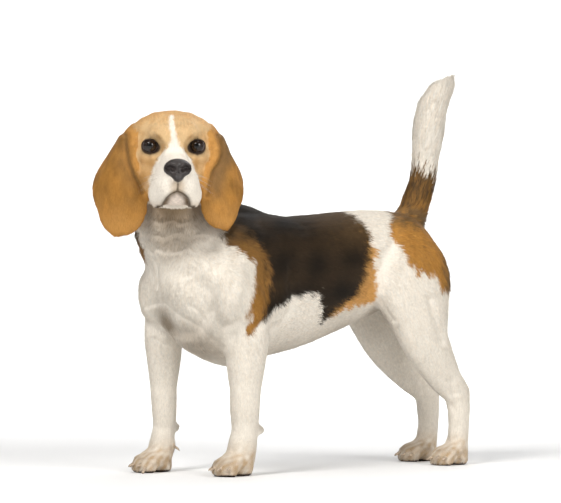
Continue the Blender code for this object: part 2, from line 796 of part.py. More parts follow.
def flesh_places():
    """Each piece of flesh, where its middle lies, and its coat."""
    yield "head", on_head((0, 0.01, -0.02))[0], "tan_coat"
    yield "neck", (0.0, -0.19, 0.365), "white_coat"
    yield "trunk", (0.0, 0.02, 0.275), "black_coat"
    yield "tail", (0.0, 0.24, 0.48), "white_coat"
    for name, side in SIDES.items():
        (x, y), *_ = FORE_FEET[name]
        hock_x, hock_y = HIND_FEET[name][0]
        yield "shoulder_" + name, turned((side * 0.065, -0.165, 0.252))[0], "white_coat"
        yield "forearm_" + name, (x, y, 0.13), "white_coat"
        yield "forepaw_" + name, (x, y - 0.012, 0.02), "white_coat"
        yield "thigh_" + name, (side * 0.055, 0.178, 0.235), "white_coat"
        yield "shank_" + name, (hock_x, hock_y - 0.03, 0.145), "white_coat"
        yield "hindfoot_" + name, (hock_x, hock_y - 0.008, 0.03), "white_coat"


def name_pieces(pieces):
    """Each loose piece gets the name of the place it is nearest to."""
    for name, where, coat in flesh_places():
        nearest = min(pieces, key=lambda pair: math.dist(points_of(pair[1]).mean(axis=0), where))
        pieces.remove(nearest)
        nearest[1].name = nearest[1].data.name = name
        nearest[1].data.materials.append(material(coat))
    if pieces:
        raise ValueError(f"{len(pieces)} pieces of flesh have no name")


def outside(obj, room):
    """What of a piece lies outside the flesh, with its crumbs left out."""
    name, coat = obj.name, obj.data.materials[0]
    combine(obj, room, "DIFFERENCE", discard=False)
    parts = loose_parts(obj)
    for _, crumb in parts[1:]:
        bpy.data.objects.remove(crumb, do_unlink=True)
    kept = parts[0][1]
    kept.name = kept.data.name = name
    kept.data.materials.append(coat)
    return kept


def centre_on_floor():
    """Moves every piece so that the whole stands centred over the origin."""
    solids = [obj for obj in bpy.data.objects if obj.type == "MESH"]
    every = np.vstack([points_of(obj) for obj in solids])
    low, high = every.min(axis=0), every.max(axis=0)
    shift = np.array(((low[0] + high[0]) / 2, (low[1] + high[1]) / 2, low[2]))
    for obj in solids:
        obj.data.transform(Matrix.Translation(-shift))
    return shift


def main():
    clear_scene()
    flesh = smooth_and_thin(whole_flesh())
    combine(flesh, box("floor", (-0.5, -0.6, FLOOR - 0.1), (0.5, 0.6, FLOOR)), "DIFFERENCE")
    room = swollen(flesh)
    outside(ear("ear_left", 1, 0.86, 0.92, 0.017), room)
    outside(ear("ear_right", -1, 1.0, 1.0, 0.0), room)
    for end, name, place, scale in paws():
        form = Form()
        add_claws(form, place, scale)
        if end == "fore":
            add_dewclaw(form, SIDES[name], FORE_FEET[name][0])
        claws = form.object("claws", "claw")
        for number, (_, claw) in enumerate(loose_parts(claws), 1):
            claw.name = claw.data.name = f"claw_{end}_{name}_{number}"
            claw.data.materials.append(material("claw"))
            outside(claw, room)
    bpy.data.objects.remove(room, do_unlink=True)
    for name, side in SIDES.items():
        centre = (side * EYE_SPACING / 2, EYE_DEPTH, 0)
        eye = ball("eye_" + name, centre, (EYE_RADIUS,) * 3, "eye")
        opening = (side * (EYE_SPACING / 2 + 0.003), -0.0085, 0)
        socket = ball("socket", opening, (0.0150, 0.0110, 0.0118), "white_coat")
        combine(flesh, as_cutter(socket), "DIFFERENCE")
        combine(flesh, swollen(eye), "DIFFERENCE")
    nose = ball("nose", (0, -0.083, -0.0275), (0.0180, 0.0125, 0.0130), "nose_leather")
    combine(flesh, swollen(nose), "DIFFERENCE")
    name_pieces(part_flesh(flesh))
    shift = centre_on_floor()
    triangles = sum(len(f.vertices) - 2 for obj in bpy.data.objects for f in obj.data.polygons)
    print("shifted by", [round(float(value), 5) for value in shift], "triangles", triangles)


main()
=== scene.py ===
"""A standing beagle as a still, life-size model: its looks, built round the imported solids.

One skin takes the place of all the flesh, and lies inside it by the depth of the coat. Short locks of hair
cover the skin and carry the same markings. The eyes, nose, claws and whiskers are pieces of their own.
Metres, +Z up. The dog faces -Y, its left side is +X, and it stands on z = 0.
"""

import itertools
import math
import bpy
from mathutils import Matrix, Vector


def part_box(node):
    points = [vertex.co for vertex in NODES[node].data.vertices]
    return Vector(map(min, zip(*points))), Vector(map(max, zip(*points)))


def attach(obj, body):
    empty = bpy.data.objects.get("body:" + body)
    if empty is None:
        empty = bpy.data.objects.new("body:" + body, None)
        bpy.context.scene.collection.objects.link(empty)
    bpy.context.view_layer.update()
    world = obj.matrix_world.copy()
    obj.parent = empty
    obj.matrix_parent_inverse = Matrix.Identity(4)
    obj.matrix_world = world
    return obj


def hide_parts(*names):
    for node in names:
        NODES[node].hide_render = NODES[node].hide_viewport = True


bl_info = {
    "name": "Standing Beagle",
    "version": (1, 0, 0),
    "blender": (4, 5, 0),
    "location": "3D View > Sidebar > Beagle",
    "description": "Skin, coat, eyes, nose, claws and whiskers of a life-size beagle, and its studio",
    "category": "Object",
}

import bmesh
import bpy
import numpy as np
from bpy.props import FloatProperty, FloatVectorProperty, IntProperty, PointerProperty
from mathutils import Matrix, Vector
from mathutils.bvhtree import BVHTree

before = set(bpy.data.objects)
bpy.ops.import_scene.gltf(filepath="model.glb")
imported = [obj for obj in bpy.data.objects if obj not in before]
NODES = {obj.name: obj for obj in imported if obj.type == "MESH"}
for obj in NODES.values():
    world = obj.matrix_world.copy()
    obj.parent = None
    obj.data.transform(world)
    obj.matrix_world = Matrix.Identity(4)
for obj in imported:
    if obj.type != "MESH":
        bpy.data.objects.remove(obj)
SIDES = {"left": 1, "right": -1}
FLESH = sorted(name for name in NODES if not name.startswith(("claw", "eye", "nose")))
# In the head's own frame
EYE_APART = 0.033  # across, from the head's middle to the middle of each eye
EYE_BACK = 0.006  # from the frame's origin back to the eyes' middles
NOSE_FALL = math.atan2(0.0275, 0.089)  # how far the nose lies below the way the face looks


# ---------------------------------------------------------------- places taken from the frame


def middle(node):
    """Middle of a node's box."""
    low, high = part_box(node)
    return (low + high) / 2


def head_frame():
    """The head's own frame: its origin is just before the point between the eyes, its muzzle to -Y."""
    left, right = middle("eye_left"), middle("eye_right")
    across = (left - right).normalized()
    toward_nose = middle("nose") - (left + right) / 2
    toward_nose -= across * toward_nose.dot(across)
    toward_nose.normalize()
    raised = -across.cross(toward_nose)
    ahead = toward_nose * math.cos(NOSE_FALL) + raised * math.sin(NOSE_FALL)
    up = raised * math.cos(NOSE_FALL) - toward_nose * math.sin(NOSE_FALL)
    origin = (left + right) / 2 + ahead * EYE_BACK
    return Matrix((
        (across.x, -ahead.x, up.x, origin.x),
        (across.y, -ahead.y, up.y, origin.y),
        (across.z, -ahead.z, up.z, origin.z),
        (0, 0, 0, 1),
    ))


HEAD = head_frame()
HEAD_TURN = np.array(HEAD)[:3, :3]
HEAD_PLACE = np.array(HEAD)[:3, 3]
EYE_RADIUS = (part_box("eye_left")[1].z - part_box("eye_left")[0].z) / 2
TAIL_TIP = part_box("tail")[1]


def on_head(points):
    """World places of points in the head's own frame."""
    return np.atleast_2d(np.asarray(points, float)) @ HEAD_TURN.T + HEAD_PLACE


def from_head(points):
    """Places in the head's own frame of points in the world."""
    return (np.atleast_2d(points) - HEAD_PLACE) @ HEAD_TURN


def eye_centre(side):
    """The middle of an eye, in the head's own frame."""
    return np.array((side * EYE_APART, EYE_BACK, 0.0))


def mirrored(path, side):
    """A path of the left side, on either side."""
    return [(side * x, y, z) for x, y, z in path]


# ---------------------------------------------------------------- settings


class DogSkinSettings(bpy.types.PropertyGroup):
    grain: FloatProperty(
        name="Grain", description="Size of the skin's faces on the body", default=0.0025, unit="LENGTH"
    )
    smoothing: IntProperty(name="Smoothing", description="Rounds that blend the skin's forms", default=36)


class DogCoatSettings(bpy.types.PropertyGroup):
    cover: FloatProperty(
        name="Cover", description="How many locks lie over each spot of skin, on average", default=2.02
    )
    slender: FloatProperty(
        name="Slenderness", description="Width of a lock as a share of its length", default=0.14
    )
    lift: FloatProperty(
        name="Lift",
        description="Angle between the locks and the skin",
        default=math.radians(6.5),
        subtype="ANGLE",
    )
    seed: IntProperty(name="Seed", description="Starts the coat's random numbers", default=7)


def colour_property(name, description, default):
    return FloatVectorProperty(
        name=name, description=description, default=default, subtype="COLOR", size=3, min=0, max=1
    )


class DogColourSettings(bpy.types.PropertyGroup):
    white: colour_property("White", "White hair of the legs, chest and blaze", (0.745, 0.690, 0.605))
    tan: colour_property("Tan", "Tan hair of the ears and rump", (0.51, 0.240, 0.050))
    gold: colour_property("Gold", "Lighter tan of the face", (0.60, 0.412, 0.215))
    black: colour_property("Black", "Hair of the saddle", (0.020, 0.0118, 0.0052))
    # brown also serves for painted shade on the chin, the ears and the rump's rear edge
    brown: colour_property("Brown", "Where tan and black hairs mix", (0.14, 0.082, 0.034))
    # cream, much darkened, also serves for painted shade on thin-haired undersides
    cream: colour_property("Cream", "Stained hair of the chin and paws", (0.50, 0.36, 0.22))
    rim: colour_property("Rim", "Bare dark skin round the eyes and mouth", (0.022, 0.014, 0.011))
    chin: colour_property("Chin", "Pink skin under the thin white hair of the chin", (0.78, 0.68, 0.59))
    iris: colour_property("Iris", "Iris of the eyes", (0.009, 0.0045, 0.0028))
    claw: colour_property("Claw", "Horn of the claws", (0.42, 0.325, 0.235))


class DogStageSettings(bpy.types.PropertyGroup):
    floor: colour_property("Floor", "The studio's floor and wall", (0.90, 0.90, 0.90))
    key: FloatProperty(name="Key", description="Strength of the large light", default=71.0, unit="POWER")
    fill: FloatProperty(name="Fill", description="Strength of the fill light", default=71.0, unit="POWER")
    wall: FloatProperty(
        name="Wall", description="Strength of the light on the wall", default=150.0, unit="POWER"
    )
    sky: FloatProperty(name="Sky", description="Strength of the light from all round", default=0.17)


SETTINGS = {
    "dog_skin": DogSkinSettings,
    "dog_coat": DogCoatSettings,
    "dog_colour": DogColourSettings,
    "dog_stage": DogStageSettings,
}


def colours():
    """The chosen colours by name, as arrays."""
    chosen = bpy.context.scene.dog_colour
    return {name: np.array(getattr(chosen, name)) for name in DogColourSettings.__annotations__}


# ---------------------------------------------------------------- meshes as arrays


def points_of(mesh):
    """Places of the vertices."""
    flat = np.empty(len(mesh.vertices) * 3, np.float32)
    mesh.vertices.foreach_get("co", flat)
    return flat.reshape(-1, 3).astype(float)


def set_points(mesh, points):
    """Moves the vertices."""
    mesh.vertices.foreach_set("co", np.asarray(points, np.float32).ravel())
    mesh.update()


def normals_of(mesh):
    """Normals at the vertices."""
    flat = np.empty(len(mesh.vertices) * 3, np.float32)
    mesh.vertex_normals.foreach_get("vector", flat)
    return flat.reshape(-1, 3).astype(float)


def edges_of(mesh):
    """The two vertices of each edge."""
    flat = np.empty(len(mesh.edges) * 2, np.int32)
    mesh.edges.foreach_get("vertices", flat)
    return flat.reshape(-1, 2)


def triangles_of(mesh):
    """Corner vertices of the mesh's triangles."""
    mesh.calc_loop_triangles()
    flat = np.empty(len(mesh.loop_triangles) * 3, np.int32)
    mesh.loop_triangles.foreach_get("vertices", flat)
    return flat.reshape(-1, 3)


def loops_of(mesh):
    """Corner loops of the mesh's triangles, once triangles_of has found them."""
    flat = np.empty(len(mesh.loop_triangles) * 3, np.int32)
    mesh.loop_triangles.foreach_get("loops", flat)
    return flat


def unit(vectors):
    """Rows made 1 long."""
    return vectors / np.maximum(np.linalg.norm(vectors, axis=1), 1e-12)[:, None]


def laid(ways, normals):
    """Directions laid flat along the surface that has these normals."""
    return unit(ways - normals * (ways * normals).sum(axis=1)[:, None])


def ramp(values, start, end):
    """0 at start and 1 at end, with a smooth rise between."""
    share = np.clip((values - start) / (end - start), 0, 1)
    return share * share * (3 - 2 * share)


def toward(value, other, share):
    """Rows mixed with another value, each by its own share."""
    return value + (other - value) * np.asarray(share)[:, None]


def ripple(points, size, seed=0):
    """Soft noise from -1 to 1 with features of about the given size."""
    random = np.random.default_rng(seed)
    total = np.zeros(len(points))
    for _ in range(9):
        way = random.normal(size=3)
        way *= random.uniform(0.7, 1.5) * 2 * math.pi / size / np.linalg.norm(way)
        total += np.sin(points @ way + random.uniform(0, 2 * math.pi))
    return total / 3


def spread(values, edges, rounds, weight=1.0, back=0.0):
    """Values at the vertices after so many rounds of averaging with their neighbours.

    With back, each round is followed by a step outward again, so that the form keeps its size."""
    count = np.bincount(edges.ravel(), minlength=len(values)).clip(1)[:, None]
    start, end = edges.T
    for _ in range(rounds):
        for share in (0.5, -back) if back else (0.5,):
            total = np.empty_like(values)
            for k in range(values.shape[1]):
                total[:, k] = np.bincount(start, values[end, k], len(values))
                total[:, k] += np.bincount(end, values[start, k], len(values))
            values = values + share * weight * (total / count - values)
    return values


def away_from_path(points, path):
    """How far each point lies from a path of straight lengths."""
    best = np.full(len(points), 1e9)
    for start, end in zip(path, path[1:]):
        way = end - start
        share = np.clip((points - start) @ way / (way @ way), 0, 1)
        best = np.minimum(best, np.linalg.norm(points - start - share[:, None] * way, axis=1))
    return best


def smooth_path(path, steps=6):
    """A curve through the path's points."""
    path = np.asarray(path, float)
    padded = np.vstack([2 * path[0] - path[1], path, 2 * path[-1] - path[-2]])
    made = []
    for i in range(1, len(padded) - 2):
        a, b, c, d = padded[i - 1 : i + 3]
        for t in np.arange(steps) / steps:
            curve = 2 * b + (c - a) * t + (2 * a - 5 * b + 4 * c - d) * t**2 + (3 * b - a - 3 * c + d) * t**3
            made.append(curve / 2)
    made.append(path[-1])
    return np.array(made)


def new_object(name, mesh, material):
    """An object in the scene, of one material."""
    obj = bpy.data.objects.new(name, mesh)
    bpy.context.scene.collection.objects.link(obj)
    mesh.materials.clear()
    mesh.materials.append(material)
    return obj


def from_bmesh(bm, name, material):
    """The finished bmesh as an object, its faces pointing outward."""
    bmesh.ops.recalc_face_normals(bm, faces=bm.faces)
    for face in bm.faces:
        face.smooth = True
    mesh = bpy.data.meshes.new(name)
    bm.to_mesh(mesh)
    bm.free()
    return new_object(name, mesh, material)


def shaped(obj):
    """The object's mesh as its modifiers make it. They are then taken off."""
    graph = bpy.context.evaluated_depsgraph_get()
    mesh = bpy.data.meshes.new_from_object(obj.evaluated_get(graph))
    obj.modifiers.clear()
    return mesh


def edges_round(ring):
    """The edges of a ring of vertices."""
    return list({edge for vertex in ring for edge in vertex.link_edges})


def join_rings(bm, rings, closed=False):
    """Lays faces between rings of edges, and over both ends unless the last ring meets the first."""
    following = rings[1:] + rings[:1] if closed else rings[1:]
    for first, second in zip(rings, following):
        bmesh.ops.bridge_loops(bm, edges=first + second)
    if not closed:
        for rim in (rings[0], rings[-1]):
            bmesh.ops.contextual_create(bm, geom=rim)


def paint(mesh, values, name="coat_colour"):
    """A colour for each vertex."""
    layer = mesh.color_attributes.new(name=name, type="FLOAT_COLOR", domain="POINT")
    flat = np.ones((len(mesh.vertices), 4), np.float32)
    flat[:, :3] = values
    layer.data.foreach_set("color", flat.ravel())


def write_layer(mesh, name, values):
    """Numbers or vectors kept at the vertices."""
    kind, field = ("FLOAT", "value") if values.ndim == 1 else ("FLOAT_VECTOR", "vector")
    layer = mesh.attributes.new(name=name, type=kind, domain="POINT")
    layer.data.foreach_set(field, np.asarray(values, np.float32).ravel())


def read_numbers(mesh, name):
    """Numbers that write_layer kept at the vertices."""
    flat = np.empty(len(mesh.vertices), np.float32)
    mesh.attributes[name].data.foreach_get("value", flat)
    return flat.astype(float)


def read_vectors(mesh, name):
    """Vectors that write_layer kept at the vertices."""
    flat = np.empty(len(mesh.vertices) * 3, np.float32)
    mesh.attributes[name].data.foreach_get("vector", flat)
    return flat.reshape(-1, 3).astype(float)


def read_owners(mesh):
    """The part that each vertex is on, as its place in FLESH."""
    return np.round(read_numbers(mesh, "owner")).astype(int)


# ---------------------------------------------------------------- the coat's plan

# Length of the hair on each part of the body
HAIR = {
    "head": 0.0050,
    "ear": 0.0046,
    "neck": 0.0100,
    "trunk": 0.0100,
    "shoulder": 0.0085,
    "forearm": 0.0065,
    "forepaw": 0.0042,
    "thigh": 0.0095,
    "shank": 0.0070,
    "hindfoot": 0.0045,
    "tail": 0.0150,
}
# Which way it lies there, apart from the head and neck, where it leads away from the nose
HAIR_WAYS = {
    "ear": (0.0, 0.1, -1.0),
    "trunk": (0.0, 1.0, -0.40),
    "shoulder": (0.0, 0.45, -1.0),
    "forearm": (0.0, 0.22, -1.0),
    "forepaw": (0.1, -0.8, -0.55),
    "thigh": (0.0, 0.60, -1.0),
    "shank": (0.0, 0.45, -1.0),
    "hindfoot": (0.0, -0.45, -0.8),
    "tail": (0.0, 0.30, 1.0),
}
COAT_DEPTH = 0.16  # depth of the coat as a share of the hair's length
BARE_SOLE = 0.0035  # no hair grows lower than this


def part_of(name):
    """The part that a node is, on whichever side."""
    return name.replace("_left", "").replace("_right", "")


def on_parts(owners, *parts):
    """Where the owner is one of these parts, on either side."""
    return np.isin(owners, [index for index, name in enumerate(FLESH) if part_of(name) in parts])


def hair_way(points, owners):
    """Which way the hair lies at each point. It turns down over the breast."""
    ways = unit(points - on_head((0, -0.092, -0.012)))
    for part, way in HAIR_WAYS.items():
        ways[on_parts(owners, part)] = way
    down_breast = toward(ways, np.array((0.0, 0.15, -1.0)), ramp(points[:, 1], -0.16, -0.22))
    ways = np.where(on_parts(owners, "trunk")[:, None], down_breast, ways)
    neck = on_parts(owners, "neck")
    ways[neck] = unit(ways[neck]) + (0, 0.1, -0.5)
    return unit(ways)


def hair_length(points, owners):
    """Length of the hair, shorter toward the nose, round the eyes and at the tail's tip."""
    lengths = np.zeros(len(points))
    for part, length in HAIR.items():
        lengths[on_parts(owners, part)] = length
    local = from_head(points)
    muzzle = ramp(local[:, 1], -0.010, -0.050) * ramp(local[:, 2], -0.10, -0.07)
    lengths *= 1 - 0.52 * muzzle * on_parts(owners, "head")
    for side in SIDES.values():
        away = np.linalg.norm(local - (side * EYE_APART, -0.004, 0), axis=1)
        lengths *= 0.42 + 0.58 * ramp(away, 0.010, 0.034)
    lengths *= 1 - 0.45 * ramp(points[:, 2], TAIL_TIP.z - 0.040, TAIL_TIP.z - 0.005)
    lengths *= 1 + 0.25 * ramp(points[:, 1], 0.215, 0.235) * ramp(points[:, 2], 0.16, 0.22)
    return lengths


# ---------------------------------------------------------------- the markings

# Edges of the markings on the body's left side: height, and the place along the body
CHEST_EDGE = [
    (0.200, -0.150), (0.234, -0.152), (0.255, -0.150), (0.276, -0.142), (0.293, -0.131), (0.303, -0.140),
    (0.310, -0.156), (0.318, -0.165), (0.330, -0.168), (0.348, -0.167), (0.368, -0.170), (0.460, -0.160),
]
SHOULDER_EDGE = [
    (0.200, -0.139), (0.217, -0.130), (0.234, -0.124), (0.255, -0.115), (0.276, -0.111), (0.297, -0.111),
    (0.319, -0.118), (0.333, -0.131), (0.354, -0.142), (0.370, -0.146), (0.400, -0.146), (0.460, -0.140),
]
SADDLE_BACK = [
    (0.243, 0.117), (0.251, 0.115), (0.270, 0.111), (0.292, 0.103), (0.314, 0.104), (0.332, 0.101),
    (0.348, 0.096), (0.363, 0.090), (0.375, 0.088),
]
SADDLE_TAN = [
    (0.224, 0.030), (0.240, 0.043), (0.248, 0.060), (0.256, 0.074), (0.270, 0.080), (0.292, 0.086),
    (0.314, 0.092), (0.332, 0.097), (0.350, 0.100),
]
RUMP_EDGE = [
    (0.262, 0.219), (0.271, 0.213), (0.283, 0.205), (0.289, 0.189), (0.292, 0.167), (0.304, 0.155),
    (0.319, 0.148), (0.332, 0.143), (0.342, 0.135), (0.359, 0.138), (0.376, 0.158), (0.390, 0.170),
]
# Half the width of the white on the face, by height over the eyes
BLAZE = [
    (-0.075, 0.0385), (-0.060, 0.0375), (-0.048, 0.0345), (-0.036, 0.0310), (-0.024, 0.0258),
    (-0.013, 0.0200), (-0.005, 0.0125), (0.001, 0.0068), (0.006, 0.0040), (0.016, 0.0034),
    (0.030, 0.0034), (0.038, 0.0032), (0.042, 0.0022), (0.0450, -0.004),
]
# The saddle's lower edge, as the place along the body and the height
SADDLE_LOW = [
    (-0.150, 0.198), (-0.138, 0.206), (-0.126, 0.217), (-0.107, 0.228), (-0.092, 0.239), (-0.078, 0.246),
    (-0.056, 0.252), (-0.025, 0.258), (-0.010, 0.259), (-0.001, 0.248), (0.006, 0.232), (0.012, 0.214),
    (0.025, 0.221), (0.041, 0.230), (0.065, 0.236), (0.092, 0.240), (0.116, 0.244),
]
RIGHT_AHEAD = 0.062  # how far the markings of the right forequarters stand before those of the left
RIGHT_LOW = 0.264  # height of the saddle's lower edge on the right forequarters


def along(table, values):
    """The table read at these values, with straight lines between its rows."""
    return np.interp(values, *np.array(table).T)


def across_face(local, path):
    """How far points lie from a path drawn on the face, with little heed to depth."""
    flat = np.array((1.0, 0.35, 1.0))
    return away_from_path(local * flat, smooth_path(path) * flat)


def body_markings(points, hue):
    """Saddle, shoulder band, white croup and rump patch on trunk, neck and upper legs. The rump patch
    darkens to brown at its rear edge as painted shade.
    """
    right = 1 - ramp(points[:, 0], -0.02, 0.02)
    wander = 0.0030 * ripple(points, 0.018, 3) + 0.0016 * ripple(points, 0.006, 4)
    ahead = ramp(points[:, 1], -0.02, -0.13)
    y = points[:, 1] + wander + right * (RIGHT_AHEAD * ahead + 0.006)
    y += 0.018 * ramp(points[:, 0], -0.040, -0.062) * ramp(points[:, 2], 0.290, 0.312) * ahead
    z = points[:, 2] + wander
    soft = 0.0035
    above = ramp(z - np.maximum(along(SADDLE_LOW, y), RIGHT_LOW * right * ahead), -soft, soft)
    behind_chest = ramp(y - along(CHEST_EDGE, z), -soft, soft)
    before_croup = ramp(along(SADDLE_BACK, z) - y, -soft, soft)
    saddle = above * behind_chest * before_croup
    saddle *= 1 - ramp(points[:, 1], -0.190, -0.205) * ramp(points[:, 0], -0.054, -0.042) * right
    tan_front = ramp(along(SHOULDER_EDGE, z) - y + 0.004 * ripple(points, 0.010, 9), -0.012, 0.008)
    tan_back = ramp(y - along(SADDLE_TAN, z) + 0.004 * ripple(points, 0.012, 7), -0.013, 0.009)
    black = hue["black"] * (1 + 0.35 * ripple(points, 0.05, 8))[:, None]
    black = toward(black, hue["brown"], 0.50 * ramp(y, -0.04, 0.08) * ramp(z, 0.30, 0.37))
    band = toward(hue["tan"] * 0.36 + hue["brown"] * 0.30, hue["tan"] * 0.62, ramp(z, 0.29, 0.24))
    band = toward(band, hue["brown"] * 0.5, ramp(z, 0.315, 0.345))
    coat = toward(black, band, tan_front)
    coat = toward(coat, hue["tan"] * 0.80 + hue["gold"] * 0.18, tan_back)
    rump = ramp(y - along(RUMP_EDGE, z), -soft, soft) * ramp(z, 0.258, 0.268)
    # the rump's tan mixes with brown on its top as grizzled hair, and toward its rear edge as painted shade
    grizzled_and_shaded = 0.85 * ramp(y, 0.214, 0.238) + 0.85 * ramp(z, 0.345, 0.370) + 0.28 * ripple(points, 0.012, 6)
    mixed = toward(hue["tan"] * 0.80, hue["brown"], np.clip(grizzled_and_shaded, 0, 1))
    return toward(toward(hue["white"], coat, saddle), mixed, rump)


# Spots of the left half of the face: middle, size, share of tan and of gold in the tone, and strength
FACE_SPOTS = (
    ((0.0195, -0.014, -0.003), 0.010, 0.72, 0.0, 0.60),
    ((0.0225, -0.014, 0.0115), 0.008, 0.72, 0.0, 0.42),
    ((0.0120, -0.014, 0.020), 0.010, 0.0, 1.12, 0.70),
    ((0.0360, 0.000, 0.024), 0.012, 0.0, 1.08, 0.40),
    ((0.0340, -0.008, -0.024), 0.012, 0.72, 0.0, 0.55),
    ((0.0450, 0.004, -0.046), 0.014, 0.62, 0.0, 0.60),
)
TEAR_LINE = [(0.0225, -0.014, -0.006), (0.0245, -0.0125, -0.018)]
EYE_CORNERS = (
    [(0.0235, -0.006, -0.0035), (0.0190, -0.0085, -0.0060)],
    [(0.0440, -0.002, 0.0000), (0.0480, 0.001, -0.0020)],
)


def face_white(local):
    """Share of white on the head: the blaze between the eyes, the muzzle and the throat."""
    x, y, z = local.T
    wander = 0.0008 * ripple(local, 0.014, 11) + 0.0004 * ripple(local, 0.005, 12)
    inside = along(BLAZE, z) - (np.abs(x + 0.003 * ramp(z, 0.0, 0.03)) + wander)
    muzzle = ramp(inside, -0.0010, 0.0010) * ramp(y, 0.004, -0.004)
    blaze = ramp(inside, -0.0008, 0.0008) * ramp(z, -0.004, 0.004) * ramp(y, 0.035, 0.025)
    throat = ramp(z + wander, -0.066, -0.074) * ramp(np.abs(x), 0.046, 0.040)
    return np.maximum.reduce([muzzle, blaze, throat])


def face_tan(local, hue):
    """The head's tan: golden in front, deeper behind and below, with spots and streaks over the brow."""
    x, y, z = local.T
    shade = 0.85 * ramp(y, 0.006, 0.055) + 0.6 * ramp(z, 0.026, 0.046) + 0.22 * ripple(local, 0.016, 13)
    shade += 0.30 * ramp(np.abs(x), 0.026, 0.044)
    shade += 0.45 * ramp(z, -0.010, -0.035)
    colour = toward(hue["gold"], hue["tan"] * 0.60 + hue["gold"] * 0.40, np.clip(shade, 0, 1))
    streak = ripple(local * (1.6, 0.6, 0.5), 0.009, 14)
    colour = colour * (1 + 0.07 * streak * ramp(z, 0.0, 0.02))[:, None]
    for side in SIDES.values():
        for centre, size, tan, gold, share in FACE_SPOTS:
            away = np.linalg.norm((local - mirrored([centre], side)) * (1, 0.7, 1), axis=1)
            tone = hue["tan"] * tan + hue["gold"] * gold
            colour = toward(colour, tone, share * ramp(away, size, 0.25 * size))
        tear = away_from_path(local, np.array(mirrored(TEAR_LINE, side)))
        colour = toward(colour, hue["tan"] * 0.35, 0.8 * ramp(tear, 0.0032, 0.0008))
    return colour


def mouth_markings(local, colour, hue):
    """Stained hair beside the lip's groove and round the mouth, a pink chin with painted shade under the
    upper lip and at its sides, whisker spots, and dark lips whose edge is blurred by painted shade.
    """
    x, y, z = local.T
    front = ramp(y, -0.02, -0.04)
    chin = under_lip(local)
    groove = across_face(local, PHILTRUM)
    arch = np.minimum(across_face(local, mouth_line(1)[:5]), across_face(local, mouth_line(-1)[:5]))
    beside = 0.62 * ramp(groove, 0.0150, 0.0030) * ramp(z, -0.040, -0.050)
    low = 0.35 * ramp(z, -0.070, -0.084) * ramp(y, 0.0, -0.03)
    pink = hue["chin"] * (1 + 0.12 * ripple(local, 0.006, 15))[:, None]
    colour = toward(colour, hue["cream"] * 0.95, front * np.maximum(beside, low) * (1 - chin))
    colour = toward(colour, pink, chin * front)
    # painted shade at the chin's sides
    colour = toward(colour, hue["brown"] * 0.9, chin * front * 0.80 * ramp(np.abs(x), 0.0075, 0.0150))
    # painted shadow on the chin under the upper lip's arch
    colour = toward(colour, hue["brown"] * 0.8, chin * front * 0.80 * ramp(arch, 0.0105, 0.0010))
    # the lip's dark edge blurred outward over the flews, partly painted shade
    colour = toward(colour, hue["brown"] * 0.8, (1 - chin) * front * 0.45 * ramp(arch, 0.0060, 0.0015))
    # rows of whisker spots, then the dark lips
    for side, row, spot in itertools.product(SIDES.values(), range(3), range(4)):
        across, height = 0.014 + 0.0040 * spot + 0.001 * row, -0.046 - 0.0058 * row - 0.0012 * spot
        away = np.hypot(x - side * across, z - height)
        colour = toward(colour, hue["brown"], front * 0.15 * ramp(away, 0.0016, 0.0004))
    lip = ramp(groove, 0.0022, 0.0008) * 0.75 * ramp(z, -0.040, -0.045)
    for side in SIDES.values():
        lip = np.maximum(lip, ramp(across_face(local, mouth_line(side)), 0.0024, 0.0008) * 0.80)
        roll = [(px + side * 0.002, py, pz - 0.001) for px, py, pz in mouth_line(side)[4:]]
        rolled = ramp(across_face(local, roll), 0.0075, 0.0045)
        lip = np.maximum(lip, rolled * ramp(z, -0.0785, -0.0825))
    return toward(colour, hue["brown"] * 0.42, 0.94 * lip * front)


def head_markings(local, hue):
    """Tan head with a white blaze and muzzle, dark lips and dark rims to the eyes."""
    colour = toward(face_tan(local, hue), hue["white"] * 1.06, face_white(local))
    colour = mouth_markings(local, colour, hue)
    rim = np.zeros(len(local))
    for side in SIDES.values():
        offset = local - eye_centre(side)
        reach = np.linalg.norm(offset, axis=1)
        from_rim = from_lids(offset, side) + 0.0016 * ramp(offset[:, 2], -0.002, 0.006)
        lines = [away_from_path(local, np.array(mirrored(line, side))) for line in EYE_CORNERS]
        corners = np.minimum(*lines)
        soft = 0.42 * ramp(from_rim, 0.0070, 0.0030) * ramp(reach, 0.022, 0.018)
        soft = np.maximum(soft, 0.42 * ramp(corners, 0.0050, 0.0015))
        colour = toward(colour, hue["brown"] * 0.55, soft)
        rim = np.maximum(rim, ramp(from_rim, 0.0037, 0.0020) * ramp(reach, 0.0220, 0.0180))
        rim = np.maximum(rim, ramp(corners, 0.0020, 0.0008))
    return toward(colour, hue["rim"], 0.95 * rim)


# the brown behind each ear's fold is partly painted shade
EAR_SHADE = {1: 0.75, -1: 0.34}  # how dark the brown behind each ear's fold is


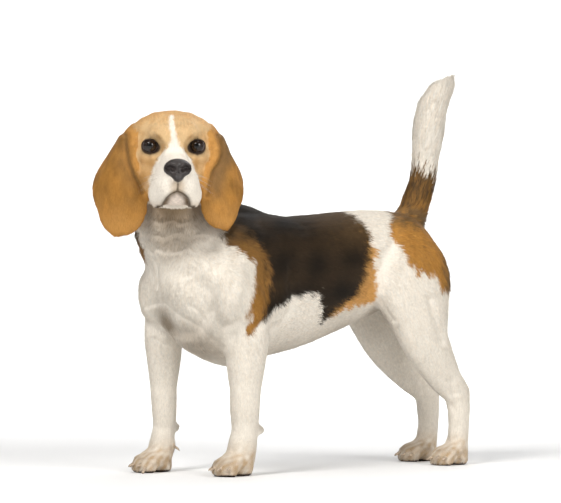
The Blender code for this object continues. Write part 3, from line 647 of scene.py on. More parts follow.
def ear_markings(local, points, hue):
    """Tan ears: painted light on the golden leading fold, a painted shadow along the groove behind it and
    brown behind that, partly painted shade, golden again below.
    """
    x, _, z = local.T
    patch = ripple(points, 0.034, 21) + 0.5 * ripple(points, 0.013, 23)
    streak = ripple(points * (1, 1, 0.3), 0.010, 24)
    colour = hue["tan"] * 0.72 * (1 + 0.12 * patch + 0.10 * streak)[:, None]
    golden = hue["tan"] * 0.86 + hue["gold"] * 0.12
    colour = toward(colour, golden, 0.75 * ramp(z + 0.006 * patch, -0.060, -0.115))
    for side, shaded in EAR_SHADE.items():
        own = ramp(side * x, 0.0, 0.01)
        path = np.array(EAR_GROOVE[side])
        line = away_from_path(local * (1, 0, 1), smooth_path(EAR_GROOVE[side]) * (1, 0, 1))
        beyond = side * x - np.interp(-z, -path[:, 2], side * path[:, 0])
        down = ramp(z, -0.085, -0.050)
        # painted light: the leading fold, turned outward, is golden as if lit
        fold = ramp(-beyond, -0.002, 0.003) * own * down
        colour = toward(colour, golden, 0.80 * fold)
        # brown behind the fold, partly painted shade
        shade = ramp(beyond, 0.0, 0.004) * ramp(beyond, 0.034, 0.010) * own * down
        colour = toward(colour, hue["brown"] * 1.25, shaded * shade)
        # painted shadow: a dark line along the groove behind the fold
        colour = toward(colour, hue["brown"] * 0.55, 0.72 * own * down * ramp(line, 0.0048, 0.0))
    return colour


# Thin hair over warm skin, on the throat, between the forelegs, under the belly and in the groin, darkened
# further as painted shade where the body shades itself
THIN_HAIR_AND_SHADE = (
    ((0.010, -0.230, 0.386), 0.078, 1.00), ((0.010, -0.240, 0.345), 0.056, 0.66),
    ((-0.022, -0.222, 0.216), 0.036, 0.80), ((0.020, -0.195, 0.186), 0.056, 0.55),
    ((0.0, -0.060, 0.165), 0.085, 0.34), ((0.0, 0.060, 0.200), 0.080, 0.34),
    ((0.0, 0.150, 0.225), 0.050, 0.60), ((-0.030, 0.140, 0.200), 0.055, 0.50),
)


def nape_markings(points, local, owners, colour, hue):
    """Behind the head its tan runs into the dark neck."""
    behind = ramp(local[:, 1], 0.050, 0.070) * ramp(local[:, 1] + local[:, 2], -0.02, 0.0)
    height = points[:, 2] + 0.007 * ripple(points, 0.020, 22) + 0.003 * ripple(points, 0.006, 25)
    nape = toward(hue["tan"] * 0.60 + hue["gold"] * 0.36, hue["tan"] * 0.62, ramp(height, 0.452, 0.428))
    nape = toward(nape, hue["brown"] * 0.9, ramp(height, 0.436, 0.410))
    nape = toward(nape, hue["black"] * 1.1, ramp(height, 0.414, 0.388))
    colour = toward(colour, nape, behind * ramp(height, 0.385, 0.400) * on_parts(owners, "neck"))
    return toward(colour, nape, behind * ramp(height, 0.456, 0.436) * on_parts(owners, "head"))


def tail_markings(points, hue):
    """A tail of mixed brown and tan, white from a ragged line up to its tip."""
    rise = points[:, 2] - 0.441 - 0.0075 * ripple(points, 0.010, 31) - 0.006 * ripple(points, 0.004, 32)
    rise += 0.45 * (points[:, 1] - 0.228)
    tan = 0.22 + 0.26 * ripple(points, 0.009, 33) + 0.30 * ramp(points[:, 2], 0.405, 0.385)
    root = toward(hue["brown"] * 0.50, hue["tan"] * 0.6, np.clip(tan, 0, 1))
    return toward(root, hue["white"] * 0.90, ramp(rise, -0.002, 0.004))


def markings(points, owners):
    """The coat's colour at each point, with painted shade and painted light in places. owners tells which
    part of the body it is on.
    """
    hue = colours()
    colour = body_markings(points, hue)
    local = from_head(points)
    head, ears, tail = (on_parts(owners, part) for part in ("head", "ear", "tail"))
    colour[head] = head_markings(local[head], hue)
    colour[ears] = ear_markings(local[ears], points[ears], hue)
    colour = nape_markings(points, local, owners, colour, hue)
    colour[tail] = tail_markings(points[tail], hue)
    colour[on_parts(owners, "forearm", "forepaw", "shank", "hindfoot")] = hue["white"]
    # thin-haired undersides take a dark cream: warm skin, and painted shade under the chin, between the legs
    # and under the body
    for centre, size, share in THIN_HAIR_AND_SHADE:
        away = np.linalg.norm((points - centre) * (1, 0.8, 1), axis=1)
        pale = ramp(colour.mean(axis=1), 0.3, 0.6)
        share = share * ramp(away, size, 0.15 * size) * pale * (1 - head)
        colour = toward(colour, hue["cream"] * 0.44, share)
    # stained paws and dark soles
    feet = on_parts(owners, "forepaw", "hindfoot")
    stain = 0.85 * ramp(points[:, 2], 0.058, 0.014) * (0.80 + 0.35 * ripple(points, 0.012, 41))
    stained = toward(colour, hue["cream"], np.clip(stain, 0, 1))
    stained = toward(stained, hue["rim"] * 1.5, ramp(points[:, 2], 0.0042, 0.0026))
    colour[feet] = stained[feet]
    return np.clip(colour, 0, 1)


# ---------------------------------------------------------------- the skin

NOSE_MIDDLE = np.array((0, -0.0835, -0.0288))
NOSE_REACH = np.array((0.0190, 0.0135, 0.0145))
PHILTRUM = [(0, -0.0944, -0.0460), (0, -0.0903, -0.0523), (0, -0.0836, -0.0598)]
# Edge of the upper lip on the left, from the middle, down round the flew and back to the corner
LIP_EDGE = [
    (0.0000, -0.0836, -0.0598), (0.0060, -0.0824, -0.0622), (0.0130, -0.0792, -0.0676),
    (0.0168, -0.0700, -0.0740), (0.0190, -0.0590, -0.0805), (0.0215, -0.0460, -0.0860),
    (0.0260, -0.0300, -0.0875), (0.0300, -0.0140, -0.0835),
]


def nose_share(local):
    """How far points lie from the nose's middle, as a share of its reach, which is lowest in the middle."""
    offset = (local - NOSE_MIDDLE) / NOSE_REACH
    wedge = ramp(np.abs(offset[:, 0]), 0.75, 0.0) * ramp(-offset[:, 2], 0.0, 0.6)
    offset[:, 2] *= 1 - 0.26 * wedge
    offset[:, 0] *= 1 + 0.20 * ramp(-offset[:, 2], 0.10, 0.95)
    offset[:, 1] *= 1 - 0.65 * ramp(-offset[:, 2], 0.10, 0.60)
    return np.linalg.norm(offset, axis=1)


def mouth_line(side):
    """Edge of the upper lip on one side."""
    return mirrored(LIP_EDGE, side)


def under_lip(local):
    """1 on the chin, under the arch of the upper lip."""
    x, y, z = local.T
    widths, _, heights = np.array([*LIP_EDGE[:5], (0.0200, 0.0, -0.12)]).T
    return ramp(np.interp(np.abs(x), widths, heights) - z, 0.0, 0.0022) * ramp(y, -0.022, -0.040)


SEAM_SWELL = 0.0004  # how far each part swells, so that neighbours run together


def fused_flesh(voxel):
    """All the flesh, with the eyes and nose, as one closed skin."""
    whole = bmesh.new()
    for name in (*FLESH, "eye_left", "eye_right", "nose"):
        part = bmesh.new()
        part.from_mesh(NODES[name].data)
        bmesh.ops.remove_doubles(part, verts=part.verts, dist=1e-6)
        if name.startswith("ear"):
            part = rounded_ear(part)
        part.normal_update()
        for vertex in part.verts:
            vertex.co += vertex.normal * SEAM_SWELL
        mesh = bpy.data.meshes.new("part")
        part.to_mesh(mesh)
        part.free()
        whole.from_mesh(mesh)
        bpy.data.meshes.remove(mesh)
    skin = from_bmesh(whole, "skin", skin_material())
    remesh = skin.modifiers.new("fuse", "REMESH")
    remesh.mode = "VOXEL"
    remesh.voxel_size = voxel
    skin.data = shaped(skin)
    return skin


EAR_SWELL = 0.0008  # makes up for what its edges lose as they are rounded


def rounded_ear(bm):
    """The ear with its long edges rounded into curves, but left as it is at its root."""
    bmesh.ops.join_triangles(bm, faces=bm.faces, angle_face_threshold=0.7, angle_shape_threshold=1.2)
    mesh = bpy.data.meshes.new("ear")
    bm.to_mesh(mesh)
    obj = bpy.data.objects.new("ear", mesh)
    bpy.context.scene.collection.objects.link(obj)
    shapes = []
    for kind in ("SIMPLE", "CATMULL_CLARK"):
        divided = obj.modifiers.new("round", "SUBSURF")
        divided.levels = 3
        divided.subdivision_type = kind
        shapes.append(shaped(obj))
    straight, curved = (points_of(shape) for shape in shapes)
    rounded = curved + normals_of(shapes[1]) * EAR_SWELL
    set_points(shapes[1], toward(straight, rounded, ramp(from_head(straight)[:, 2], 0.018, -0.008)))
    bm.clear()
    bm.from_mesh(shapes[1])
    bpy.data.objects.remove(obj)
    return bm


def owners_at(points):
    """Which flesh node each point is nearest to, as its place in FLESH."""
    corners, faces, owner = [], [], []
    for index, name in enumerate(FLESH):
        mesh = NODES[name].data
        base = len(corners)
        corners += [vertex.co.copy() for vertex in mesh.vertices]
        faces += [[base + i for i in face.vertices] for face in mesh.polygons]
        owner += [index] * len(mesh.polygons)
    tree = BVHTree.FromPolygons(corners, faces)
    owner = np.array(owner)
    return owner[[tree.find_nearest(point)[2] for point in points.tolist()]]


def divide_finely(mesh, wanted):
    """Halves the edges whose two ends are wanted."""
    bm = bmesh.new()
    bm.from_mesh(mesh)
    edges = [edge for edge in bm.edges if wanted[edge.verts[0].index] and wanted[edge.verts[1].index]]
    bmesh.ops.subdivide_edges(bm, edges=edges, cuts=1, use_grid_fill=True)
    bmesh.ops.triangulate(bm, faces=bm.faces)
    for face in bm.faces:
        face.smooth = True
    bm.to_mesh(mesh)
    bm.free()


def stroke(points, normals, path, width, depth, facing=None, seen=1.0):
    """Presses a groove into the skin along a path, or raises a ridge where depth is negative.

    seen is the heed paid to how far off the path lies along Y."""
    scale = np.array((1.0, seen, 1.0))
    away = away_from_path(points * scale, smooth_path(path) * scale)
    force = np.exp(-((away / width) ** 2)) * depth
    if facing is not None:
        force *= ramp(normals @ np.asarray(facing, float), 0.0, 0.4)
    return points - normals * force[:, None]


def press(points, normals, folds):
    """Makes a stroke for each fold in turn: its path, width and depth."""
    for path, width, depth in folds:
        points = stroke(points, normals, path, width, depth)
    return points


def sided(folds, side):
    """Folds of the left side, on either side."""
    return [(mirrored(path, side), width, depth) for path, width, depth in folds]


LID_WIDE = math.radians(60)  # half the opening's angle from corner to corner
LID_HIGH = math.radians(50)  # how far the lower lid opens
LID_TOP = 0.90  # how far the upper lid opens, as a share of the lower
LID_LIFT = 0.0010  # how far the lids' edges stand off the eyeball
LID_SUNK = 0.0025  # how far under the eyeball's surface the skin over its opening is buried
INNER_CORNER = 0.0111  # from the eye's middle to its inner corner
CORNER_AHEAD = 0.0064  # how far the inner corner stands before the eyeball's middle


def eye_axis(side):
    """The way each eye's opening faces, in the head's frame."""
    return unit(np.array([(side * 0.16, -1.0, 0.03)]))[0]


def lid_axes(side):
    """The eye opening's own axes: level, upward, and the way it faces."""
    axis = eye_axis(side)
    level = np.cross(axis, (0, 0, 1.0))
    level /= np.linalg.norm(level)
    return level, np.cross(level, axis), axis


def lid_edge(turn, side):
    """Angle from the middle of the opening to its edge: an almond, its inner corner drawn out and down."""
    high = LID_HIGH * (1 - (1 - LID_TOP) * np.clip(np.sin(turn), 0, 1))
    edge = 1 / np.sqrt((np.cos(turn) / LID_WIDE) ** 2 + (np.sin(turn) / high) ** 2)
    inner = np.clip(side * np.cos(turn) * 0.95 - np.sin(turn) * 0.31, 0, 1)
    outer = np.clip(-side * np.cos(turn) * 0.98 - np.sin(turn) * 0.17, 0, 1)
    return edge * (1 + 0.20 * inner**10 + 0.07 * outer**10)


def lid_angles(ways, side):
    """Angle from the middle of the opening to each direction, and to the opening's edge on that side."""
    level, upward, axis = lid_axes(side)
    turn = np.arctan2(ways @ upward, ways @ level)
    return np.arccos(np.clip(ways @ axis, -1, 1)), lid_edge(turn, side)


def corner_share(offset, side):
    """1 on the nose's side of each eye, where the lids leave the eyeball to form the inner corner."""
    return ramp(-side * offset[..., 0], -0.0035, 0.0065)


def corner_fall(inward):
    """How far the opening's middle line has fallen, toward the inner corner."""
    return 0.0016 * np.clip(inward / INNER_CORNER, 0, 1.4) ** 2


def corner_lids(offset, side):
    """Toward the nose: how far points lie outside the opening, seen from the front, and the lids' reach."""
    inward, rise = -side * offset[:, 0], offset[:, 2]
    fallen = rise + corner_fall(inward)
    high = EYE_RADIUS * np.where(fallen > 0, math.sin(LID_TOP * LID_HIGH), math.sin(LID_HIGH))
    share = np.maximum(np.hypot(inward / INNER_CORNER, fallen / high), 1e-6)
    outside = (share - 1) * np.hypot(inward, rise) / share
    ahead = np.sqrt(np.maximum((EYE_RADIUS + LID_LIFT) ** 2 - inward**2 - rise**2, CORNER_AHEAD**2))
    return outside, ahead


def from_lids(offset, side):
    """Distance of points from the edge of the lids, below 0 over the opening."""
    reach = np.maximum(np.linalg.norm(offset, axis=1), 1e-9)
    angle, edge = lid_angles(offset / reach[:, None], side)
    on_ball = (angle - edge) * EYE_RADIUS * np.maximum(reach / EYE_RADIUS, 1)
    share = corner_share(offset, side)
    return on_ball * (1 - share) + corner_lids(offset, side)[0] * share


def lids_on_ball(offset, side):
    """Draws the skin close round the eyeball, and buries what lies over its opening."""
    reach = np.linalg.norm(offset, axis=1)
    near = ramp(reach, 0.026, 0.019)
    angle, edge = lid_angles(offset / np.maximum(reach, 1e-9)[:, None], side)
    outside = (angle - edge) * EYE_RADIUS
    lid = EYE_RADIUS + LID_LIFT + 0.22 * np.clip(outside, 0, 0.02)
    drawn = reach + (lid - reach) * ramp(outside, 0.0090, 0.0) * near
    drawn = np.where((near > 0) & (angle / edge < 0.97), EYE_RADIUS - LID_SUNK, drawn)
    return offset * (drawn / np.maximum(reach, 1e-9))[:, None]


def lids_at_corner(offset, side):
    """Sets the skin toward the nose back to the lids' edge, and a little way behind it."""
    near = ramp(np.linalg.norm(offset, axis=1), 0.038, 0.028)
    outside, ahead = corner_lids(offset, side)
    across = np.hypot(offset[:, 0], offset[:, 2])
    under = np.sqrt(np.maximum((EYE_RADIUS - LID_SUNK) ** 2 - across**2, 0))
    under = np.maximum(under, 0.0044 * ramp(across, 0.0075, 0.0100))
    depth = offset[:, 1] + (-ahead - offset[:, 1]) * ramp(outside, 0.0120, 0.0) * near
    depth = np.where((outside < -0.0003) & (near > 0), -under, depth)
    return offset * (1, 0, 1) + depth[:, None] * (0, 1, 0)


def set_eyes(local):
    """Forms the lids of both eyes."""
    for side in SIDES.values():
        offset = local - eye_centre(side)
        share = corner_share(offset, side)[:, None] * (offset[:, 1:2] < 0.004)
        on_ball, at_corner = lids_on_ball(offset, side), lids_at_corner(offset, side)
        local = eye_centre(side) + on_ball * (1 - share) + at_corner * share
    return local


# Folds as path, width and depth, which is below 0 for a ridge. The lip's groove, brow's furrow and bridge
MIDDLE_FOLDS = (
    (PHILTRUM, 0.0015, 0.0020),
    ([(0, -0.004, 0.012), (0, 0.020, 0.040)], 0.007, 0.0014),
    ([(0, -0.050, -0.011), (0, -0.020, -0.004)], 0.006, 0.0008),
)
# On the left of the skull: the ridge over it and the hollow above the ear's root
SKULL_FOLDS = (
    ([(0.024, 0.018, 0.046), (0.027, 0.035, 0.046), (0.028, 0.055, 0.043)], 0.009, -0.0030),
    ([(0.046, 0.020, 0.034), (0.048, 0.045, 0.036)], 0.009, 0.0022),
)
# On the left: lip's groove and roll, flew's fullness, cheek hollow, tear line, brow and lower lid fold
FACE_FOLDS = (
    (LIP_EDGE, 0.0016, 0.0026),
    ([(x + 0.0030, y, z - 0.0005) for x, y, z in LIP_EDGE[4:7]], 0.0030, -0.0030),
    ([(0.016, -0.076, -0.050), (0.022, -0.050, -0.066)], 0.010, -0.0022),
    ([(0.033, -0.020, -0.040), (0.036, -0.004, -0.066)], 0.008, 0.0026),
    ([(0.019, -0.014, -0.006), (0.025, -0.026, -0.024)], 0.004, 0.0012),
    ([(0.016, -0.006, 0.016), (0.034, -0.002, 0.0170)], 0.006, -0.0016),
    ([(0.022, -0.010, -0.0155), (0.042, -0.002, -0.0150)], 0.003, 0.0009),
)
# The ears' leading edges are folded, and a groove runs down behind each fold
EAR_GROOVE = {
    1: [(0.0646, 0.0258, 0.0147), (0.0698, 0.0180, -0.0062), (0.0665, 0.0115, -0.0201),
        (0.0560, 0.0031, -0.0367), (0.0499, -0.0040, -0.0547), (0.0470, -0.0050, -0.0700)],
    -1: [(-0.0655, 0.0263, 0.0139), (-0.0645, 0.0184, 0.0), (-0.0619, 0.0124, -0.0208),
         (-0.0563, 0.0087, -0.0375), (-0.0480, 0.0065, -0.0529), (-0.0424, 0.0046, -0.0668)],
}


def fold_ear(local, way, side):
    """The groove behind an ear's leading edge, and the ridge before it."""
    front = (side * 0.5, -1, 0.2)
    ridge = [(x - side * 0.0075, y - 0.002, z) for x, y, z in EAR_GROOVE[side][1:]]
    local = stroke(local, way, EAR_GROOVE[side], 0.0040, 0.0034, facing=front, seen=0.0)
    return stroke(local, way, ridge, 0.0040, -0.0014, facing=front, seen=0.0)


def shape_face(points, normals):
    """Folds, lips, brows and ear creases, pressed into the skin in the head's frame."""
    local, way = from_head(points), normals @ HEAD_TURN
    local = press(local, way, MIDDLE_FOLDS)
    for side in SIDES.values():
        local = press(local, way, sided(SKULL_FOLDS, side))
    for side in SIDES.values():
        local = press(local, way, sided(FACE_FOLDS, side))
        local = fold_ear(local, way, side)
    # the chin lies behind the upper lip, whose edge is full
    chin = under_lip(local) * ramp(local[:, 2], -0.092, -0.080)
    local = local + np.array((0, 0.0050, 0.0)) * chin[:, None]
    edge = np.zeros(len(local))
    for side in SIDES.values():
        lifted = smooth_path([(x, y, z + 0.0042) for x, y, z in mouth_line(side)[:5]])
        edge = np.maximum(edge, np.exp(-((away_from_path(local, lifted) / 0.0042) ** 2)))
    local = local + way * (0.0016 * edge * (1 - chin))[:, None]
    # the skin passes under the nose
    reach = nose_share(local)
    sunk = np.where(reach < 1.08, 0.62, reach)
    local = NOSE_MIDDLE + (local - NOSE_MIDDLE) * (sunk / np.maximum(reach, 1e-9))[:, None]
    return on_head(set_eyes(local))


BREAST_FOLDS = (
    # groove between neck and right shoulder, folds over the breast and between the forelegs
    ([(-0.037, -0.245, 0.329), (-0.034, -0.238, 0.312), (-0.026, -0.233, 0.296), (-0.026, -0.231, 0.271)],
     0.006, 0.0028),
    ([(0.035, -0.227, 0.282), (0.052, -0.218, 0.290), (0.061, -0.207, 0.298), (0.062, -0.194, 0.307)],
     0.0045, 0.0012),
    ([(-0.060, -0.226, 0.240), (-0.034, -0.230, 0.245), (0.001, -0.238, 0.244), (0.016, -0.229, 0.230)],
     0.004, 0.0024),
    ([(0.021, -0.231, 0.234), (0.033, -0.230, 0.241), (0.044, -0.226, 0.247)], 0.0035, 0.0012),
    ([(0.043, -0.221, 0.240), (0.050, -0.213, 0.235), (0.050, -0.203, 0.221)], 0.0035, 0.0022),
    ([(-0.032, -0.226, 0.226), (-0.018, -0.218, 0.210)], 0.014, 0.0040),
    ([(0.016, -0.226, 0.228), (0.033, -0.214, 0.217), (0.048, -0.195, 0.199), (0.046, -0.168, 0.180)],
     0.005, 0.0032),
    ([(-0.067, -0.210, 0.193), (-0.060, -0.201, 0.187), (-0.057, -0.191, 0.183)], 0.003, 0.0014),
    # rear edges of the upper arms, groove before the left arm, crease of the elbow
    ([(0.073, -0.112, 0.302), (0.077, -0.111, 0.276), (0.083, -0.117, 0.248), (0.085, -0.134, 0.206)],
     0.007, 0.0030),
    ([(-0.080, -0.150, 0.300), (-0.084, -0.150, 0.255), (-0.082, -0.160, 0.220)], 0.008, 0.0026),
    ([(0.092, -0.177, 0.290), (0.096, -0.185, 0.262), (0.091, -0.189, 0.234)], 0.009, 0.0014),
    ([(0.083, -0.146, 0.200), (0.085, -0.137, 0.194), (0.084, -0.130, 0.185)], 0.004, 0.0018),
)
BREAST_SHARE = 0.48  # how much of their depth the folds of the breast and arms have
# Flank fold and hamstrings, then the hollows before the heel cord
FLANK_FOLDS = (
    ([(0.034, 0.100, 0.262), (0.036, 0.118, 0.242), (0.038, 0.137, 0.218)], 0.006, 0.0028),
    ([(0.061, 0.191, 0.248), (0.060, 0.202, 0.218), (0.056, 0.219, 0.188)], 0.007, 0.0024),
)
HEEL_FOLDS = (
    ([(0.062, 0.226, 0.158), (0.060, 0.240, 0.130), (0.058, 0.250, 0.108)], 0.005, 0.0024),
    ([(0.042, 0.228, 0.156), (0.042, 0.240, 0.130), (0.044, 0.250, 0.108)], 0.005, 0.0024),
)
HEEL_BACK = {1: 0.0, -1: 0.018}  # how far each hock stands back from the left one
THROAT_RINGS = ((0.358, 0.0013), (0.340, 0.0016), (0.319, 0.0012))  # height and depth


def shape_body(points, normals, owners):
    """Creases and muscles of the trunk and legs."""
    for path, width, depth in BREAST_FOLDS:
        points = stroke(points, normals, path, width, BREAST_SHARE * depth)
    for side, back in HEEL_BACK.items():
        points = press(points, normals, sided(FLANK_FOLDS, side))
        for path, width, depth in sided(HEEL_FOLDS, side):
            points = stroke(points, normals, [(x, y + back, z) for x, y, z in path], width, depth)
    # loose skin lies in soft rings across the throat
    throat = ramp(points[:, 1], -0.165, -0.200) * ramp(points[:, 0], 0.070, 0.045)
    throat *= on_parts(owners, "neck", "trunk")
    for height, depth in THROAT_RINGS:
        rise = points[:, 2] - height - 1.6 * points[:, 0] ** 2 - 0.003 * ripple(points, 0.030, 61)
        points = points - normals * (throat * depth * np.exp(-((rise / 0.0042) ** 2)))[:, None]
    return points


def chart_of(normals, owners):
    """A number for each face: the part it is on and which of six ways it faces."""
    axis = np.abs(normals).argmax(axis=1)
    sign = normals[np.arange(len(normals)), axis] > 0
    return owners * 6 + axis * 2 + sign


def unwrap(mesh, owners):
    """Lays the skin out flat: each part is seen from six sides, and the views are packed."""
    triangles = triangles_of(mesh)
    corners = points_of(mesh)[triangles]
    normals = np.cross(corners[:, 1] - corners[:, 0], corners[:, 2] - corners[:, 0])
    chart = chart_of(normals, owners[triangles[:, 0]])
    flat = np.empty((len(triangles), 3, 2))
    for axis, kept in enumerate(((1, 2), (0, 2), (0, 1))):
        rows = (chart % 6) // 2 == axis
        flat[rows] = corners[rows][:, :, kept]
    boxes = []
    for number in np.unique(chart):
        rows = np.nonzero(chart == number)[0]
        low, high = flat[rows].min(axis=(0, 1)), flat[rows].max(axis=(0, 1))
        boxes.append((high - low, rows, low))
    boxes.sort(key=lambda box: -box[0][1])
    scale = 1.0
    while not pack_rows(boxes, scale, flat, place=False):
        scale *= 0.96
    pack_rows(boxes, scale, flat, place=True)
    values = np.zeros((len(mesh.loops), 2), np.float32)
    values[loops_of(mesh)] = flat.reshape(-1, 2)
    mesh.uv_layers.new(name="OFBake").uv.foreach_set("vector", values.ravel())


def pack_rows(boxes, scale, flat, place):
    """Sets the boxes side by side in rows, tallest first. Returns whether they fit the unit square."""
    margin = 0.004
    x = y = margin
    tall = 0.0
    for size, rows, low in boxes:
        wide, high = size * scale
        if x + wide + margin > 1:
            x, y, tall = margin, y + tall + margin, 0.0
        if y + high + margin > 1 or x + wide + margin > 1:
            return False
        if place:
            flat[rows] = (flat[rows] - low) * scale + (x, y)
        x, tall = x + wide + margin, max(tall, high)
    return True


FACE_MIDDLE = (0, -0.035, -0.025)  # in the head's frame
BREAST_MIDDLE = (0.004, -0.236, 0.272)


def refine(mesh):
    """Smaller faces on the face and the feet."""
    points = points_of(mesh)
    face = np.linalg.norm(from_head(points) - FACE_MIDDLE, axis=1) < 0.072
    divide_finely(mesh, face | (points[:, 2] < 0.034))


def blend_forms(mesh, rounds):
    """Smooths the skin, the face and feet least. Returns its points and the part that each is on."""
    points, edges = points_of(mesh), edges_of(mesh)
    face = ramp(np.linalg.norm(from_head(points) - FACE_MIDDLE, axis=1), 0.11, 0.07)
    fine = np.maximum(face, ramp(points[:, 2], 0.045, 0.030))
    smoothed = spread(points, edges, rounds, weight=(1 - 0.62 * fine)[:, None], back=0.52)
    points = toward(points, smoothed, ramp(points[:, 2], 0.0006, 0.0016))
    # the ears, skull and breast are smoothed further, as their forms are long curves
    owners = owners_at(points)
    ears = on_parts(owners, "ear").astype(float)
    local = from_head(points)
    skull = ramp(local[:, 2], 0.016, 0.028) * ramp(np.linalg.norm(local, axis=1), 0.13, 0.11)
    breast = ramp(points[:, 1], -0.150, -0.185) * ramp(points[:, 2], 0.175, 0.200)
    breast *= ramp(points[:, 2], 0.37, 0.34)
    long_forms = spread(np.maximum.reduce([ears, skull, breast])[:, None], edges, 6)
    points = spread(points, edges, rounds * 3, weight=long_forms, back=0.513)
    # the neck runs down into the breast without a ledge
    ledge = ramp(np.linalg.norm((points - BREAST_MIDDLE) * (1, 1, 0.85), axis=1), 0.078, 0.045)
    points = spread(points, edges, 90, weight=ledge[:, None])
    set_points(mesh, points)
    points = points + normals_of(mesh) * (ears * 0.0009 * ripple(points, 0.040, 51))[:, None]
    points[:, 2] = points[:, 2].clip(0, None)
    return points, owners


def sink_under_coat(mesh, points, lengths):
    """Sets the skin in by the depth of its coat, and of the tail's tuft, but not where it stands."""
    depth = COAT_DEPTH * lengths * ramp(points[:, 2], 0.0015, 0.0060) + SEAM_SWELL
    depth = depth * (points[:, 2] >= 0.0012)
    depth = depth + 0.0030 * ramp(points[:, 2], TAIL_TIP.z - 0.022, TAIL_TIP.z)
    return points - normals_of(mesh) * depth[:, None]


def build_skin():
    """The whole skin, with its folds, its markings and the layers that the coat grows from."""
    settings = bpy.context.scene.dog_skin
    skin = fused_flesh(settings.grain)
    mesh = skin.data
    refine(mesh)
    points, owners = blend_forms(mesh, settings.smoothing)
    set_points(mesh, points)
    edges = edges_of(mesh)
    lengths = spread(hair_length(points, owners)[:, None], edges, 14)[:, 0]
    points = sink_under_coat(mesh, points, lengths)
    set_points(mesh, points)
    points = shape_body(points, normals_of(mesh), owners)
    set_points(mesh, points)
    points = shape_face(points, normals_of(mesh))
    points[:, 2] = points[:, 2].clip(0, None)
    set_points(mesh, points)
    normals = normals_of(mesh)
    ways = hair_way(points, owners)
    for _ in range(3):
        ways = spread(laid(ways, normals), edges, 10)
    ways = laid(ways, normals)
    write_layer(mesh, "lie", ways)
    write_layer(mesh, "hair_length", lengths)
    write_layer(mesh, "owner", owners.astype(float))
    write_layer(mesh, "upright", np.abs(ways[:, 2]))
    paint(mesh, markings(points, owners))
    unwrap(mesh, owners)
    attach(skin, "root")
    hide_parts(*FLESH)


# ---------------------------------------------------------------- materials


class Nodes:
    """A new material and short ways to add and join its nodes."""

    def __init__(self, name, roughness, specular=0.5, coat=0.0, coat_roughness=0.04, sheen=0.0):
        self.material = bpy.data.materials.new(name)
        self.material.use_nodes = True
        self.tree = self.material.node_tree
        self.shader = self.tree.nodes["Principled BSDF"]
        for name, value in (
            ("Roughness", roughness),
            ("Specular IOR Level", specular),
            ("Coat Weight", coat),
            ("Coat Roughness", coat_roughness),
            ("Sheen Weight", sheen),
            ("Sheen Roughness", 0.45),
        ):
            self.shader.inputs[name].default_value = value

    def add(self, kind, **values):
        """A new node, with its properties and inputs set by name."""
        node = self.tree.nodes.new(kind)
        for name, value in values.items():
            if hasattr(node, name):
                setattr(node, name, value)
            else:
                node.inputs[name.replace("_", " ").title()].default_value = value
        return node

    def join(self, source, target):
        self.tree.links.new(source, target)

    def place(self):
        """The object's own coordinates."""
        return self.add("ShaderNodeTexCoord").outputs["Object"]

    def noise(self, scale, detail=3.0, stretch=None):
        """Noise over the object's own coordinates, drawn out along an axis by stretch."""
        texture = self.add("ShaderNodeTexNoise", Scale=scale, Detail=detail)
        source = self.place()
        if stretch:
            mapping = self.add("ShaderNodeMapping")
            mapping.inputs["Scale"].default_value = stretch
            self.join(source, mapping.inputs["Vector"])
            source = mapping.outputs["Vector"]
        self.join(source, texture.inputs["Vector"])
        return texture.outputs["Fac"]

    def mix(self, share, first, second, kind="MIX"):
        """A colour between two, each a colour or a socket."""
        node = self.add("ShaderNodeMix", data_type="RGBA", blend_type=kind)
        for socket, value in ((node.inputs[0], share), (node.inputs[6], first), (node.inputs[7], second)):
            if isinstance(value, bpy.types.NodeSocket):
                self.join(value, socket)
            else:
                socket.default_value = value
        return node.outputs[2]

    def ramp(self, source, *stops):
        """Colours spread between stops by the source's value."""
        node = self.add("ShaderNodeValToRGB")
        self.join(source, node.inputs["Fac"])
        elements = node.color_ramp.elements
        while len(elements) < len(stops):
            elements.new(0.5)
        for element, (at, colour) in zip(elements, stops):
            element.position = at
            element.color = (*colour, 1)
        return node.outputs["Color"]

    def attribute(self, name, output):
        """What is kept at the vertices under this name."""
        return self.add("ShaderNodeAttribute", attribute_name=name).outputs[output]

    def tint(self, tone, painted=None):
        """Gives the surface its tone, over the colours painted on its vertices if it has some."""
        if painted:
            tone = self.mix(1.0, self.attribute(painted, "Color"), tone, "MULTIPLY")
        self.join(tone, self.shader.inputs["Base Color"])

    def bump(self, height, strength, distance):
        """Gives the surface a fine relief."""
        node = self.add("ShaderNodeBump", Strength=strength, Distance=distance)
        self.join(height, node.inputs["Height"])
        self.join(node.outputs["Normal"], self.shader.inputs["Normal"])


def hair_streaks(nodes):
    """Fine strokes along the body on the trunk, and down on the legs and ears."""
    level = nodes.noise(1.0, 4.0, stretch=(900, 150, 700))
    upright = nodes.noise(1.0, 4.0, stretch=(900, 800, 130))
    return nodes.mix(nodes.attribute("upright", "Fac"), level, upright)


def skin_material():
    """Skin seen through thin hair: the coat's own colours, streaked and bumped along its lie."""
    nodes = Nodes("short_coat_skin", 0.66, specular=0.14, sheen=0.05)
    streaks = hair_streaks(nodes)
    tone = nodes.ramp(streaks, (0.30, (0.84, 0.83, 0.82)), (0.70, (1.08, 1.08, 1.08)))
    nodes.tint(tone, painted="coat_colour")
    nodes.bump(streaks, 0.38, 0.0005)
    return nodes.material


def coat_material():
    """Hair: the colour each lock carries, faintly mottled, with a fine bump."""
    nodes = Nodes("short_coat_hair", 0.55, specular=0.12, sheen=0.03)
    mottle = nodes.ramp(nodes.noise(240.0, 3.0), (0.35, (0.90, 0.89, 0.88)), (0.65, (1.06, 1.06, 1.06)))
    nodes.tint(mottle, painted="coat_colour")
    nodes.bump(nodes.noise(2600.0, 2.0), 0.25, 0.0002)
    return nodes.material


